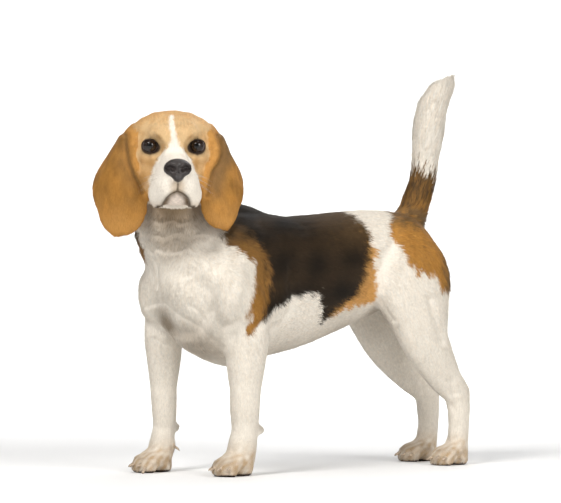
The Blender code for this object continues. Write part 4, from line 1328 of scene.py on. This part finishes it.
def nose_material():
    """Damp black leather with a pebbled grain."""
    nodes = Nodes("nose_leather", 0.42, specular=0.42, coat=0.12, coat_roughness=0.22)
    cells = nodes.add("ShaderNodeTexVoronoi", Scale=850.0)
    nodes.join(nodes.place(), cells.inputs["Vector"])
    tone = nodes.ramp(nodes.noise(220.0), (0.3, (0.010, 0.007, 0.006)), (0.7, (0.030, 0.021, 0.018)))
    nodes.tint(tone)
    nodes.bump(cells.outputs["Distance"], 0.5, 0.0005)
    return nodes.material


def lid_material():
    """Bare dark skin of the eye's rim, moist and finely creased."""
    nodes = Nodes("eye_rim", 0.60, specular=0.16)
    hue = colours()["rim"]
    tone = nodes.ramp(nodes.noise(700.0), (0.3, tuple(hue * 0.7)), (0.7, tuple(hue * 1.5)))
    nodes.tint(tone)
    nodes.bump(nodes.noise(1800.0), 0.4, 0.0003)
    return nodes.material


def eye_material():
    """Dark brown iris round a black pupil, with a brownish white at its edge, under a wet coat."""
    nodes = Nodes("eye_wet", 0.04, specular=0.40, coat=0.12, coat_roughness=0.015)
    fleck = nodes.ramp(nodes.noise(900.0), (0.3, (0.75, 0.75, 0.75)), (0.7, (1.25, 1.2, 1.15)))
    nodes.tint(fleck, painted="eye_colour")
    return nodes.material


def claw_material():
    """Horn, streaked darker and paler along its grain."""
    nodes = Nodes("claw_horn", 0.38, specular=0.45, coat=0.1)
    hue = colours()["claw"]
    grain = nodes.noise(1.0, 3.0, stretch=(700, 260, 260))
    tone = nodes.ramp(grain, (0.30, tuple(hue * 0.55)), (0.70, tuple(hue * 1.45)))
    nodes.tint(tone)
    nodes.bump(grain, 0.3, 0.0003)
    return nodes.material


def whisker_material():
    """Stiff pale hair, darker in places."""
    nodes = Nodes("whisker", 0.40, specular=0.4)
    tone = nodes.ramp(nodes.noise(90.0), (0.3, (0.30, 0.24, 0.18)), (0.7, (0.62, 0.55, 0.46)))
    nodes.tint(tone)
    return nodes.material


# ---------------------------------------------------------------- the coat


def lock_shape():
    """One lock, a slender closed spike: its root at the origin, its length along +X, its back up +Z."""
    bm = bmesh.new()
    bmesh.ops.create_cone(bm, cap_ends=True, segments=3, radius1=1, radius2=0, depth=1)
    bmesh.ops.remove_doubles(bm, verts=bm.verts, dist=1e-4)
    bm.verts.ensure_lookup_table()
    base = [vertex for vertex in bm.verts if vertex.co.z < 0]
    tip = next(vertex for vertex in bm.verts if vertex.co.z > 0)
    ridge = max(base, key=lambda vertex: vertex.co.y)
    for vertex in base:
        vertex.co = (0, math.copysign(0.5, vertex.co.x) if vertex is not ridge else 0, 0)
    ridge.co.z = 1
    tip.co = (1, 0, 0)
    bmesh.ops.recalc_face_normals(bm, faces=bm.faces)
    bmesh.ops.triangulate(bm, faces=bm.faces)
    shape = np.array([vertex.co[:] for vertex in bm.verts])
    faces = np.array([[vertex.index for vertex in face.verts] for face in bm.faces])
    bm.free()
    return shape, faces


def scatter(rows, triangles, points, each, random):
    """Roots spread evenly over the chosen triangles: their triangle and weights at its corners.

    each is the skin area that one lock stands for."""
    corners = points[triangles[rows]]
    area = np.linalg.norm(np.cross(corners[:, 1] - corners[:, 0], corners[:, 2] - corners[:, 0]), axis=1) / 2
    wanted = np.floor(area / each[rows] + random.random(len(rows))).astype(int)
    chosen = np.repeat(rows, wanted)
    a, b = random.random((2, len(chosen)))
    over = a + b > 1
    a[over], b[over] = 1 - a[over], 1 - b[over]
    return chosen, np.stack([1 - a - b, a, b], axis=1)


COAT_PIECES = {
    "coat_head": "head",
    "coat_ears": "ear",
    "coat_neck": "neck",
    "coat_trunk": "trunk",
    "coat_shoulders": "shoulder",
    "coat_forelegs": "forearm",
    "coat_forepaws": "forepaw",
    "coat_thighs": "thigh",
    "coat_shanks": "shank",
    "coat_hindfeet": "hindfoot",
    "coat_tail": "tail",
}
MOST_LOCKS = 49000  # in one piece, so that it stays under 200,000 triangles
LOCK_BUDGET = (150000, 420000)  # fewest and most locks of the whole coat
ROOT_DEPTH = 0.00025  # how far under the skin each lock starts, besides a share of its length
PATCH = 0.003  # size of a lock's own patch on the unwrapped skin
SKIN_FACES = 192000  # as many as are left to the skin under its coat


def bare(points, local):
    """Where the skin shows: the soles, the lids' edges and what the nose covers."""
    none = points[:, 2] < BARE_SOLE
    none |= nose_share(local) < 1.04
    for side in SIDES.values():
        offset = local - eye_centre(side)
        none |= (np.linalg.norm(offset, axis=1) < 0.0185) & (from_lids(offset, side) < 0.0028)
    return none


def mesh_of_triangles(name, points, index):
    """A smooth mesh of these points, whose triangles are the rows of index."""
    mesh = bpy.data.meshes.new(name)
    mesh.vertices.add(len(points))
    mesh.vertices.foreach_set("co", points.astype(np.float32).ravel())
    mesh.loops.add(index.size)
    mesh.loops.foreach_set("vertex_index", index.astype(np.int32).ravel())
    mesh.polygons.add(len(index))
    mesh.polygons.foreach_set("loop_start", np.arange(0, index.size, 3, dtype=np.int32))
    mesh.polygons.foreach_set("use_smooth", np.ones(len(index), bool))
    mesh.update(calc_edges=True)
    return mesh


def locks(name, roots, normals, ways, lengths, tint, patches, material, random):
    """One coat piece: a lock at each root, lying along the coat."""
    settings = bpy.context.scene.dog_coat
    shape, faces = lock_shape()
    count = len(roots)
    turn = random.normal(0, 0.14, count)[:, None]
    ways = unit(ways * np.cos(turn) + np.cross(normals, ways) * np.sin(turn))
    side = np.cross(normals, ways)
    lift = (settings.lift * random.uniform(0.55, 1.45, count))[:, None]
    along_way = ways * np.cos(lift) + normals * np.sin(lift)
    back = normals * np.cos(lift) - ways * np.sin(lift)
    long = (lengths * random.uniform(0.78, 1.18, count))[:, None]
    wide = (lengths * settings.slender * random.uniform(0.8, 1.25, count))[:, None]
    thick = wide * 0.26
    start = roots - normals * (ROOT_DEPTH + 0.02 * long)
    points = (
        start[:, None]
        + along_way[:, None] * (long * shape[None, :, 0])[:, :, None]
        + side[:, None] * (wide * shape[None, :, 1])[:, :, None]
        + back[:, None] * (thick * shape[None, :, 2])[:, :, None]
    )
    index = faces[None] + (np.arange(count) * len(shape))[:, None, None]
    mesh = mesh_of_triangles(name, points.reshape(-1, 3), index.reshape(-1, 3))
    paint(mesh, np.repeat(tint, len(shape), axis=0))
    # each lock is a small patch at its root's place on the unwrapped skin
    spot = np.stack([shape[:, 1] + 0.25 * shape[:, 2], shape[:, 0] - 0.5], axis=1) * PATCH
    uv = (patches[:, None] + spot[None]).reshape(-1, 2)[index.ravel()]
    mesh.uv_layers.new(name="OFBake").uv.foreach_set("vector", uv.astype(np.float32).ravel())
    # the back is shaded as the skin under it, a little rounded, and the underside by its own facing
    soft = normals[:, None] + 0.26 * side[:, None] * np.sign(shape[None, :, 1:2])
    soft = soft + 0.08 * ways[:, None] * shape[None, :, :1]
    facing = soft[:, faces]
    underside = shape[faces][:, :, 2].max(axis=1) < 0.5
    facing[:, underside] = -back[:, None, None]
    mesh.normals_split_custom_set(unit(facing.reshape(-1, 3)).astype(np.float32))
    piece = new_object(name, mesh, material)
    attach(piece, "root")


def thin_skin():
    """Joins the skin's flat faces, once the coat has grown from the finer ones."""
    skin = bpy.data.objects["skin"]
    fine = skin.data
    thinner = skin.modifiers.new("thinner", "DECIMATE")
    thinner.ratio = min(1.0, SKIN_FACES / len(triangles_of(fine)))
    skin.data = mesh = shaped(skin)
    bpy.data.meshes.remove(fine)
    mesh.name = "skin"
    mesh.uv_layers.remove(mesh.uv_layers["OFBake"])
    unwrap(mesh, read_owners(mesh))


def build_coat():
    """Locks over the whole skin, in pieces for the parts of the body."""
    settings = bpy.context.scene.dog_coat
    random = np.random.default_rng(settings.seed)
    material = coat_material()
    mesh = bpy.data.objects["skin"].data
    points, normals, triangles = points_of(mesh), normals_of(mesh), triangles_of(mesh)
    ways, lengths, owners = read_vectors(mesh, "lie"), read_numbers(mesh, "hair_length"), read_owners(mesh)
    flat = np.empty(len(mesh.loops) * 2, np.float32)
    mesh.uv_layers["OFBake"].uv.foreach_get("vector", flat)
    charts = flat.reshape(-1, 2)[loops_of(mesh)].reshape(-1, 3, 2).astype(float)
    # a lock is a triangle of skin: half its length times its width
    each = 0.5 * settings.slender * lengths[triangles].mean(axis=1) ** 2 / settings.cover
    hidden = bare(points, from_head(points))[triangles].any(axis=1)
    total = 0
    for name, part in COAT_PIECES.items():
        wanted = on_parts(owners[triangles[:, 0]], part) & ~hidden
        chosen, share = scatter(np.nonzero(wanted)[0], triangles, points, each, random)
        order = np.argsort(points[triangles[chosen, 0], 1], kind="stable")
        pieces = np.array_split(order, max(1, math.ceil(len(order) / MOST_LOCKS)))
        for number, rows in enumerate(pieces, 1):
            own, weights = chosen[rows], share[rows][:, :, None]
            corner = triangles[own]
            roots = (points[corner] * weights).sum(axis=1)
            up = unit((normals[corner] * weights).sum(axis=1))
            way = laid((ways[corner] * weights).sum(axis=1), up)
            size = (lengths[corner] * weights[:, :, 0]).sum(axis=1)
            tint = markings(roots + random.normal(0, 0.0007, roots.shape), owners[corner[:, 0]])
            pale = ramp(tint.mean(axis=1), 0.3, 0.6)
            tone = 1 + (random.normal(0, 1, len(roots)) * (0.11 - 0.07 * pale))[:, None]
            warm = random.normal(0, 0.020, len(roots))[:, None] * (1, 0, -1)
            tint = np.clip(tint * (tone + warm).clip(0.5, 1.5), 0, 0.98)
            patches = (charts[own] * weights).sum(axis=1)
            label = name if len(pieces) == 1 else f"{name}_{number}"
            locks(label, roots, up, way, size, tint, patches, material, random)
            total += len(roots)
    if not LOCK_BUDGET[0] < total < LOCK_BUDGET[1]:
        raise ValueError(f"the coat has {total} locks, outside its budget")


# ---------------------------------------------------------------- eyes, nose, claws, whiskers


# Sections of an eye's rim: steps out from the opening, as shares of its size, and heights over the ball
RIM_STEPS = (
    (1.00, -0.0006), (0.965, 0.0001), (0.975, 0.0006), (1.03, 0.0010), (1.11, 0.0012), (1.20, 0.0010),
    (1.30, 0.0002), (1.20, -0.0008),
)
EYE_WHITE = np.array((0.12, 0.090, 0.084))


def eye_colours(angle):
    """Colours of the eyeball by the angle from where it looks: pupil, iris, its dark edge, and white."""
    iris = colours()["iris"] * (1.0 + 0.8 * ramp(angle, 18, 30))[:, None]
    colour = toward(iris, EYE_WHITE, ramp(angle, 53, 57))
    colour = colour * (1 - 0.80 * ramp(angle, 42, 51) * ramp(angle, 56, 53))[:, None]
    return colour * (1 - 0.97 * ramp(angle, 17.5, 15.0))[:, None]


def build_eyes():
    """Each eye: a ball whose front bulges as the cornea does, and a rim of bare dark skin round it."""
    ball_material, rim_material = eye_material(), lid_material()
    looked_at = from_head(np.array([camera_place()]))[0]
    for name, side in SIDES.items():
        centre = eye_centre(side)
        gaze = unit((looked_at - centre)[None])[0] * 0.75 + eye_axis(side) * 0.25
        gaze /= np.linalg.norm(gaze)
        bm = bmesh.new()
        bmesh.ops.create_icosphere(bm, subdivisions=6, radius=EYE_RADIUS)
        ball = from_bmesh(bm, "eyeball_" + name, ball_material)
        points = points_of(ball.data)
        angle = np.degrees(np.arccos(np.clip(unit(points) @ gaze, -1, 1)))
        points *= (1 + 0.045 * ramp(angle, 38, 20))[:, None]
        set_points(ball.data, on_head(points + centre))
        paint(ball.data, eye_colours(angle), "eye_colour")
        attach(ball, "root")
        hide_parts("eye_" + name)
        rim = eye_rim(name, side, rim_material)
        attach(rim, "root")


def rim_place(turn, measure, height, side):
    """A place on the rim, from the eye's middle: round the ball, or flat where it forms the inner corner."""
    level, upward, axis = lid_axes(side)
    angle = float(lid_edge(turn, side)) * measure
    outward = level * math.cos(turn) + upward * math.sin(turn)
    on_ball = (axis * math.cos(angle) + outward * math.sin(angle)) * (EYE_RADIUS + height)
    inward, rise = side * math.cos(turn), math.sin(turn)
    high = EYE_RADIUS * math.sin(LID_HIGH * (LID_TOP if rise > 0 else 1.0))
    far = measure / max(math.hypot(inward / INNER_CORNER, rise / high), 0.01)
    inward, rise = inward * far, rise * far
    flat = np.array((-side * inward, 0.0, rise - corner_fall(inward)))
    flat[1] = -corner_lids(flat[None], side)[1][0] - height + LID_LIFT
    share = float(corner_share(on_ball, side))
    return on_ball * (1 - share) + flat * share


def eye_rim(name, side, material):
    """A closed ring of skin that rolls over the lids' edge."""
    bm = bmesh.new()
    rings = []
    for measure, height in RIM_STEPS:
        ring = bmesh.ops.create_circle(bm, cap_ends=False, segments=72, radius=1)["verts"]
        for number, vertex in enumerate(ring):
            place = rim_place(2 * math.pi * number / len(ring), measure, height, side)
            vertex.co = on_head(eye_centre(side) + place)[0]
        rings.append(edges_round(ring))
    join_rings(bm, rings, closed=True)
    return from_bmesh(bm, "eye_rim_" + name, material)


NOSE_SIZE = np.array((0.0193, 0.0142, 0.0142))
NOSTRIL = [(0.0068, -0.0968, -0.0290), (0.0102, -0.0952, -0.0270), (0.0145, -0.0920, -0.0292)]
# The slit that runs out from each nostril, and the rolls over and under it
NOSTRIL_FOLDS = (
    ([(0.0140, -0.0915, -0.0290), (0.0176, -0.0850, -0.0335)], 0.0011, 0.0022),
    ([(0.005, -0.096, -0.0225), (0.011, -0.094, -0.0212), (0.017, -0.088, -0.0245)], 0.0026, -0.0009),
    ([(0.004, -0.096, -0.0335), (0.009, -0.0935, -0.0345), (0.014, -0.088, -0.0350)], 0.0024, -0.0010),
)
NOSE_GROOVE = [(0, -0.0965, -0.0215), (0, -0.0975, -0.030), (0, -0.0950, -0.0440)]


def build_nose():
    """The nose's leather: broad above and narrowing to the lip, with comma-shaped nostrils and a groove."""
    bm = bmesh.new()
    bmesh.ops.create_icosphere(bm, subdivisions=6, radius=1.0)
    nose = from_bmesh(bm, "nose_leather", nose_material())
    ways = points_of(nose.data)
    z = ways[:, 2]
    squared = unit(np.sign(ways) * np.abs(ways) ** 0.84)
    points = squared * NOSE_SIZE
    # narrower below, where a wedge runs down to the lip's groove, and fuller above
    points[:, 0] *= 1 - 0.24 * ramp(-z, 0.10, 0.95)
    wedge = ramp(-z, 0.25, 0.95) * ramp(np.abs(points[:, 0]), 0.0140, 0.0)
    points += np.array((0, -0.0085, -0.0040)) * wedge[:, None]
    points[:, 1] -= 0.0010 * ramp(z, -0.2, 0.6)
    points += NOSE_MIDDLE
    way = unit(squared / NOSE_SIZE)
    for side in SIDES.values():
        force = np.exp(-((away_from_path(points, smooth_path(mirrored(NOSTRIL, side))) / 0.0032) ** 2))
        points = points + np.array((side * 0.0006, 0.0066, 0.0008)) * force[:, None]
        for path, width, depth in sided(NOSTRIL_FOLDS, side):
            points = stroke(points, way, smooth_path(path), width, depth)
    points = stroke(points, way, NOSE_GROOVE, 0.0009, 0.0013)
    set_points(nose.data, on_head(points))
    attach(nose, "root")
    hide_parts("nose")


def claw_ends(node):
    """Middle of the root and tip of a claw's solid."""
    points = np.array([vertex.co[:] for vertex in NODES[node].data.vertices])
    tip = points[np.linalg.norm(points - points.mean(axis=0), axis=1).argmax()]
    from_tip = np.linalg.norm(points - tip, axis=1)
    return points[from_tip > 0.72 * from_tip.max()].mean(axis=0), tip


CLAW_SHOWN = 0.66  # the horn's length as a share of the claw's solid, whose end the coat's tips reach
CLAW_THICK = 0.0022  # half the height of the horn at its root


def build_claws():
    """Curved horn claws, rooted in the toes."""
    horn = claw_material()
    for name in sorted(node for node in NODES if node.startswith("claw")):
        root, tip = claw_ends(name)
        way = tip - root
        long = float(np.linalg.norm(way))
        way /= long
        side = np.cross(way, (0, 0, 1.0))
        side /= np.linalg.norm(side)
        over = np.cross(side, way)
        bm = bmesh.new()
        rings = []
        for share in np.linspace(-0.45, CLAW_SHOWN, 11):
            wide = CLAW_THICK * (1 - max(0.0, share / CLAW_SHOWN) ** 1.6 * 0.84)
            bend = over * long * 0.16 * (1 - (2 * share - 1) ** 2) * (share > 0)
            place = root + way * long * share + bend
            ring = bmesh.ops.create_circle(bm, cap_ends=False, segments=14, radius=1)["verts"]
            for vertex in ring:
                vertex.co = place + side * (vertex.co.x * wide * 0.80) + over * (vertex.co.y * wide)
            rings.append(edges_round(ring))
        join_rings(bm, rings)
        claw = from_bmesh(bm, name.replace("claw", "horn"), horn)
        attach(claw, "root")
        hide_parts(name)


WHISKER_THICK = 0.00013
# Whiskers of the flew stand in rows, at these heights and places along the left side of the muzzle
WHISKER_ROWS = ((-0.040, -0.070), (-0.047, -0.066), (-0.054, -0.060))
# Place, way and length of those over the left eye and under the chin
SINGLE_WHISKERS = (
    ((0.024, -0.008, 0.016), (0.35, -0.6, 0.55), 0.018),
    ((0.020, -0.008, 0.017), (0.15, -0.6, 0.70), 0.016),
    ((0.006, -0.074, -0.075), (0.2, -0.5, -0.8), 0.014),
)


def whisker_starts():
    """Place, way and length of every whisker, in the head's frame."""
    starts = []
    for side in SIDES.values():
        for row, (z, y) in enumerate(WHISKER_ROWS):
            for step in range(4):
                place = (side * (0.0185 + 0.0026 * step), y + 0.009 * step, z)
                way = (side * 0.9, 0.30 + 0.1 * step, -0.22 - 0.12 * row)
                starts.append((place, way, 0.024))
        starts += [(*mirrored((place, way), side), long) for place, way, long in SINGLE_WHISKERS]
    return starts


def build_whiskers():
    """Stiff hairs on the flews, over the eyes and under the chin, in one piece."""
    random = np.random.default_rng(5)
    tree = BVHTree.FromObject(bpy.data.objects["skin"], bpy.context.evaluated_depsgraph_get())
    bm = bmesh.new()
    for place, way, long in whisker_starts():
        root = Vector(tree.find_nearest(Vector(on_head(place)[0]))[0])
        way = Vector(HEAD_TURN @ np.array(way)).normalized()
        long *= random.uniform(0.8, 1.2)
        turn = way.to_track_quat("Z", "Y").to_matrix().to_4x4()
        rings = []
        for share in np.linspace(-0.04, 1, 6):
            fall = Vector((0, 0, -1)) * 0.18 * long * max(share, 0) ** 2
            place = Matrix.Translation(root + way * long * share + fall)
            thick = WHISKER_THICK * (1.08 - share)
            ring = bmesh.ops.create_circle(bm, cap_ends=False, segments=5, radius=thick)["verts"]
            bmesh.ops.transform(bm, matrix=place @ turn, verts=ring)
            rings.append(edges_round(ring))
        join_rings(bm, rings)
    whiskers = from_bmesh(bm, "whiskers", whisker_material())
    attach(whiskers, "root")


# ---------------------------------------------------------------- the studio

VIEW_TURN = math.radians(55)  # round from the dog's front towards its left side
VIEW_DISTANCE = 4.0
VIEW_HEIGHT = 0.2536
AIM_HEIGHT = 0.3191
STANDING = (-0.0220, 0.0134)  # what the camera stands square to, on the floor
LENS = 174.5
TO_CAMERA = np.array((math.sin(VIEW_TURN), -math.cos(VIEW_TURN), 0.0))
TO_RIGHT = np.array((math.cos(VIEW_TURN), math.sin(VIEW_TURN), 0.0))
CHEST = Vector((0, -0.05, 0.30))
FLAT_RADIUS = 4.8  # of the floor, as far as it is flat
WALL_RADIUS = 6.4
WALL_HEIGHT = 4.5
SWEEP_HEIGHT = 1.6  # of the curve between floor and wall
SWEEP_STEPS = 12


def camera_place():
    """The camera stands level with the dog's chest, off its left front."""
    return TO_CAMERA * VIEW_DISTANCE + (*STANDING, VIEW_HEIGHT)


def aim():
    """What the camera looks at: the dog's middle, a little to the left."""
    return TO_RIGHT * -0.0287 + (*STANDING, AIM_HEIGHT)


def look(obj, place, target):
    """Sets a light or camera at its place, facing the target."""
    place = Vector(place)
    obj.location = place
    obj.rotation_euler = (Vector(target) - place).to_track_quat("-Z", "Y").to_euler()


def light(name, place, target, size, power, colour):
    """A round lamp that faces the target."""
    lamp = bpy.data.lights.new(name, "AREA")
    lamp.shape = "DISK"
    lamp.size = size
    lamp.energy = power
    lamp.color = colour
    obj = bpy.data.objects.new(name, lamp)
    bpy.context.scene.collection.objects.link(obj)
    look(obj, place, target)


def floor_material(pale):
    """Matt pale paper, very faintly uneven."""
    nodes = Nodes("studio_floor", 0.85, specular=0.2)
    nodes.tint(nodes.ramp(nodes.noise(3.0), (0.3, tuple(c * 0.985 for c in pale)), (0.7, pale)))
    return nodes.material


def build_floor(pale):
    """A round pale floor whose rim sweeps up into a wall."""
    outline = [(0.0, 0.0), (FLAT_RADIUS, 0.0)]
    for step in range(1, SWEEP_STEPS + 1):
        turn = math.pi / 2 * step / SWEEP_STEPS
        radius = FLAT_RADIUS + (WALL_RADIUS - FLAT_RADIUS) * math.sin(turn)
        outline.append((radius, SWEEP_HEIGHT * (1 - math.cos(turn))))
    outline.append((WALL_RADIUS, WALL_HEIGHT))
    bm = bmesh.new()
    row = [bm.verts.new((radius, 0, height)) for radius, height in outline]
    for pair in zip(row, row[1:]):
        bm.edges.new(pair)
    bmesh.ops.spin(
        bm, geom=bm.verts[:] + bm.edges[:], cent=(0, 0, 0), axis=(0, 0, 1), angle=2 * math.pi, steps=96,
        use_merge=True,
    )
    bmesh.ops.remove_doubles(bm, verts=bm.verts, dist=1e-5)
    floor = from_bmesh(bm, "studio_floor", floor_material(pale))
    if floor.data.polygons[0].normal.z < 0:
        floor.data.flip_normals()


def build_lights(settings):
    """Two large soft lights before the dog, one above, one on the wall and one behind, and an even sky."""
    key, fill, wall = settings.key, settings.fill, settings.wall
    front, right, up = Vector(TO_CAMERA), Vector(TO_RIGHT), Vector((0, 0, 1))
    before_left = front * 2.1 - right * 1.2 + up * 2.5
    before_right = front * 2.6 + right * 2.2 + up * 1.5
    behind = -front * 2.0 + right * 0.8 + up * 2.2
    light("key", before_left, CHEST, 1.15, key, (1.0, 0.985, 0.96))
    light("fill", before_right, (0, 0.1, 0.2), 2.0, fill, (1.0, 0.99, 0.97))
    light("top", (-0.3, 0.3, 3.2), CHEST, 2.6, key * 0.27, (1, 1, 1))
    light("wall", -front * 2.6 + up * 2.6, -front * 5.6 + up * 0.1, 2.4, wall, (1, 1, 1))
    light("rear", behind, CHEST, 1.6, fill * 0.22, (1, 1, 1))
    world = bpy.data.worlds.new("studio")
    world.use_nodes = True
    world.node_tree.nodes["Background"].inputs["Color"].default_value = (1, 1, 1, 1)
    world.node_tree.nodes["Background"].inputs["Strength"].default_value = settings.sky
    bpy.context.scene.world = world
    bpy.context.scene.view_settings.view_transform = "Standard"


def build_camera():
    """The camera, with a long lens."""
    camera = bpy.data.objects.new("camera", bpy.data.cameras.new("camera"))
    bpy.context.scene.collection.objects.link(camera)
    camera.data.lens = LENS
    camera.data.sensor_width = 36
    camera.data.clip_end = 60
    look(camera, camera_place(), aim())
    bpy.context.scene.camera = camera


def build_stage():
    """The studio: floor, lights and camera."""
    settings = bpy.context.scene.dog_stage
    build_floor(tuple(settings.floor))
    build_lights(settings)
    build_camera()


# ---------------------------------------------------------------- operators and panel


class DOG_OT_skin(bpy.types.Operator):
    """One skin in place of all the flesh, with the face's folds, the markings and the coat's lie"""

    bl_idname = "dog.skin"
    bl_label = "Skin"

    def execute(self, context):
        build_skin()
        return {"FINISHED"}


class DOG_OT_coat(bpy.types.Operator):
    """Short locks of hair over the skin"""

    bl_idname = "dog.coat"
    bl_label = "Coat"

    def execute(self, context):
        build_coat()
        thin_skin()
        return {"FINISHED"}


class DOG_OT_eyes(bpy.types.Operator):
    """The two eyes and the rims of their lids"""

    bl_idname = "dog.eyes"
    bl_label = "Eyes"

    def execute(self, context):
        build_eyes()
        return {"FINISHED"}


class DOG_OT_nose(bpy.types.Operator):
    """The nose's leather, with its nostrils"""

    bl_idname = "dog.nose"
    bl_label = "Nose"

    def execute(self, context):
        build_nose()
        return {"FINISHED"}


class DOG_OT_claws(bpy.types.Operator):
    """The claws of the four feet"""

    bl_idname = "dog.claws"
    bl_label = "Claws"

    def execute(self, context):
        build_claws()
        return {"FINISHED"}


class DOG_OT_whiskers(bpy.types.Operator):
    """The whiskers of the muzzle and brows"""

    bl_idname = "dog.whiskers"
    bl_label = "Whiskers"

    def execute(self, context):
        build_whiskers()
        return {"FINISHED"}


class DOG_OT_stage(bpy.types.Operator):
    """Floor, lights and camera"""

    bl_idname = "dog.stage"
    bl_label = "Studio"

    def execute(self, context):
        build_stage()
        return {"FINISHED"}


OPERATORS = (DOG_OT_skin, DOG_OT_eyes, DOG_OT_nose, DOG_OT_claws, DOG_OT_coat, DOG_OT_whiskers, DOG_OT_stage)


class DOG_PT_panel(bpy.types.Panel):
    bl_label = "Beagle"
    bl_idname = "DOG_PT_panel"
    bl_space_type = "VIEW_3D"
    bl_region_type = "UI"
    bl_category = "Beagle"

    def draw(self, context):
        for group, kind in SETTINGS.items():
            column = self.layout.column(heading=group)
            for name in kind.__annotations__:
                column.prop(getattr(context.scene, group), name)
        for operator in OPERATORS:
            self.layout.operator(operator.bl_idname)


def register():
    for group, kind in SETTINGS.items():
        bpy.utils.register_class(kind)
        setattr(bpy.types.Scene, group, PointerProperty(type=kind))
    for operator in OPERATORS:
        bpy.utils.register_class(operator)
    bpy.utils.register_class(DOG_PT_panel)


def unregister():
    bpy.utils.unregister_class(DOG_PT_panel)
    for operator in reversed(OPERATORS):
        bpy.utils.unregister_class(operator)
    for group, kind in SETTINGS.items():
        delattr(bpy.types.Scene, group)
        bpy.utils.unregister_class(kind)


def main():
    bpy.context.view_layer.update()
    register()
    bpy.ops.dog.skin()
    bpy.ops.dog.eyes()
    bpy.ops.dog.nose()
    bpy.ops.dog.claws()
    bpy.ops.dog.coat()
    bpy.ops.dog.whiskers()
    bpy.ops.dog.stage()


if __name__ == "__main__":
    main()
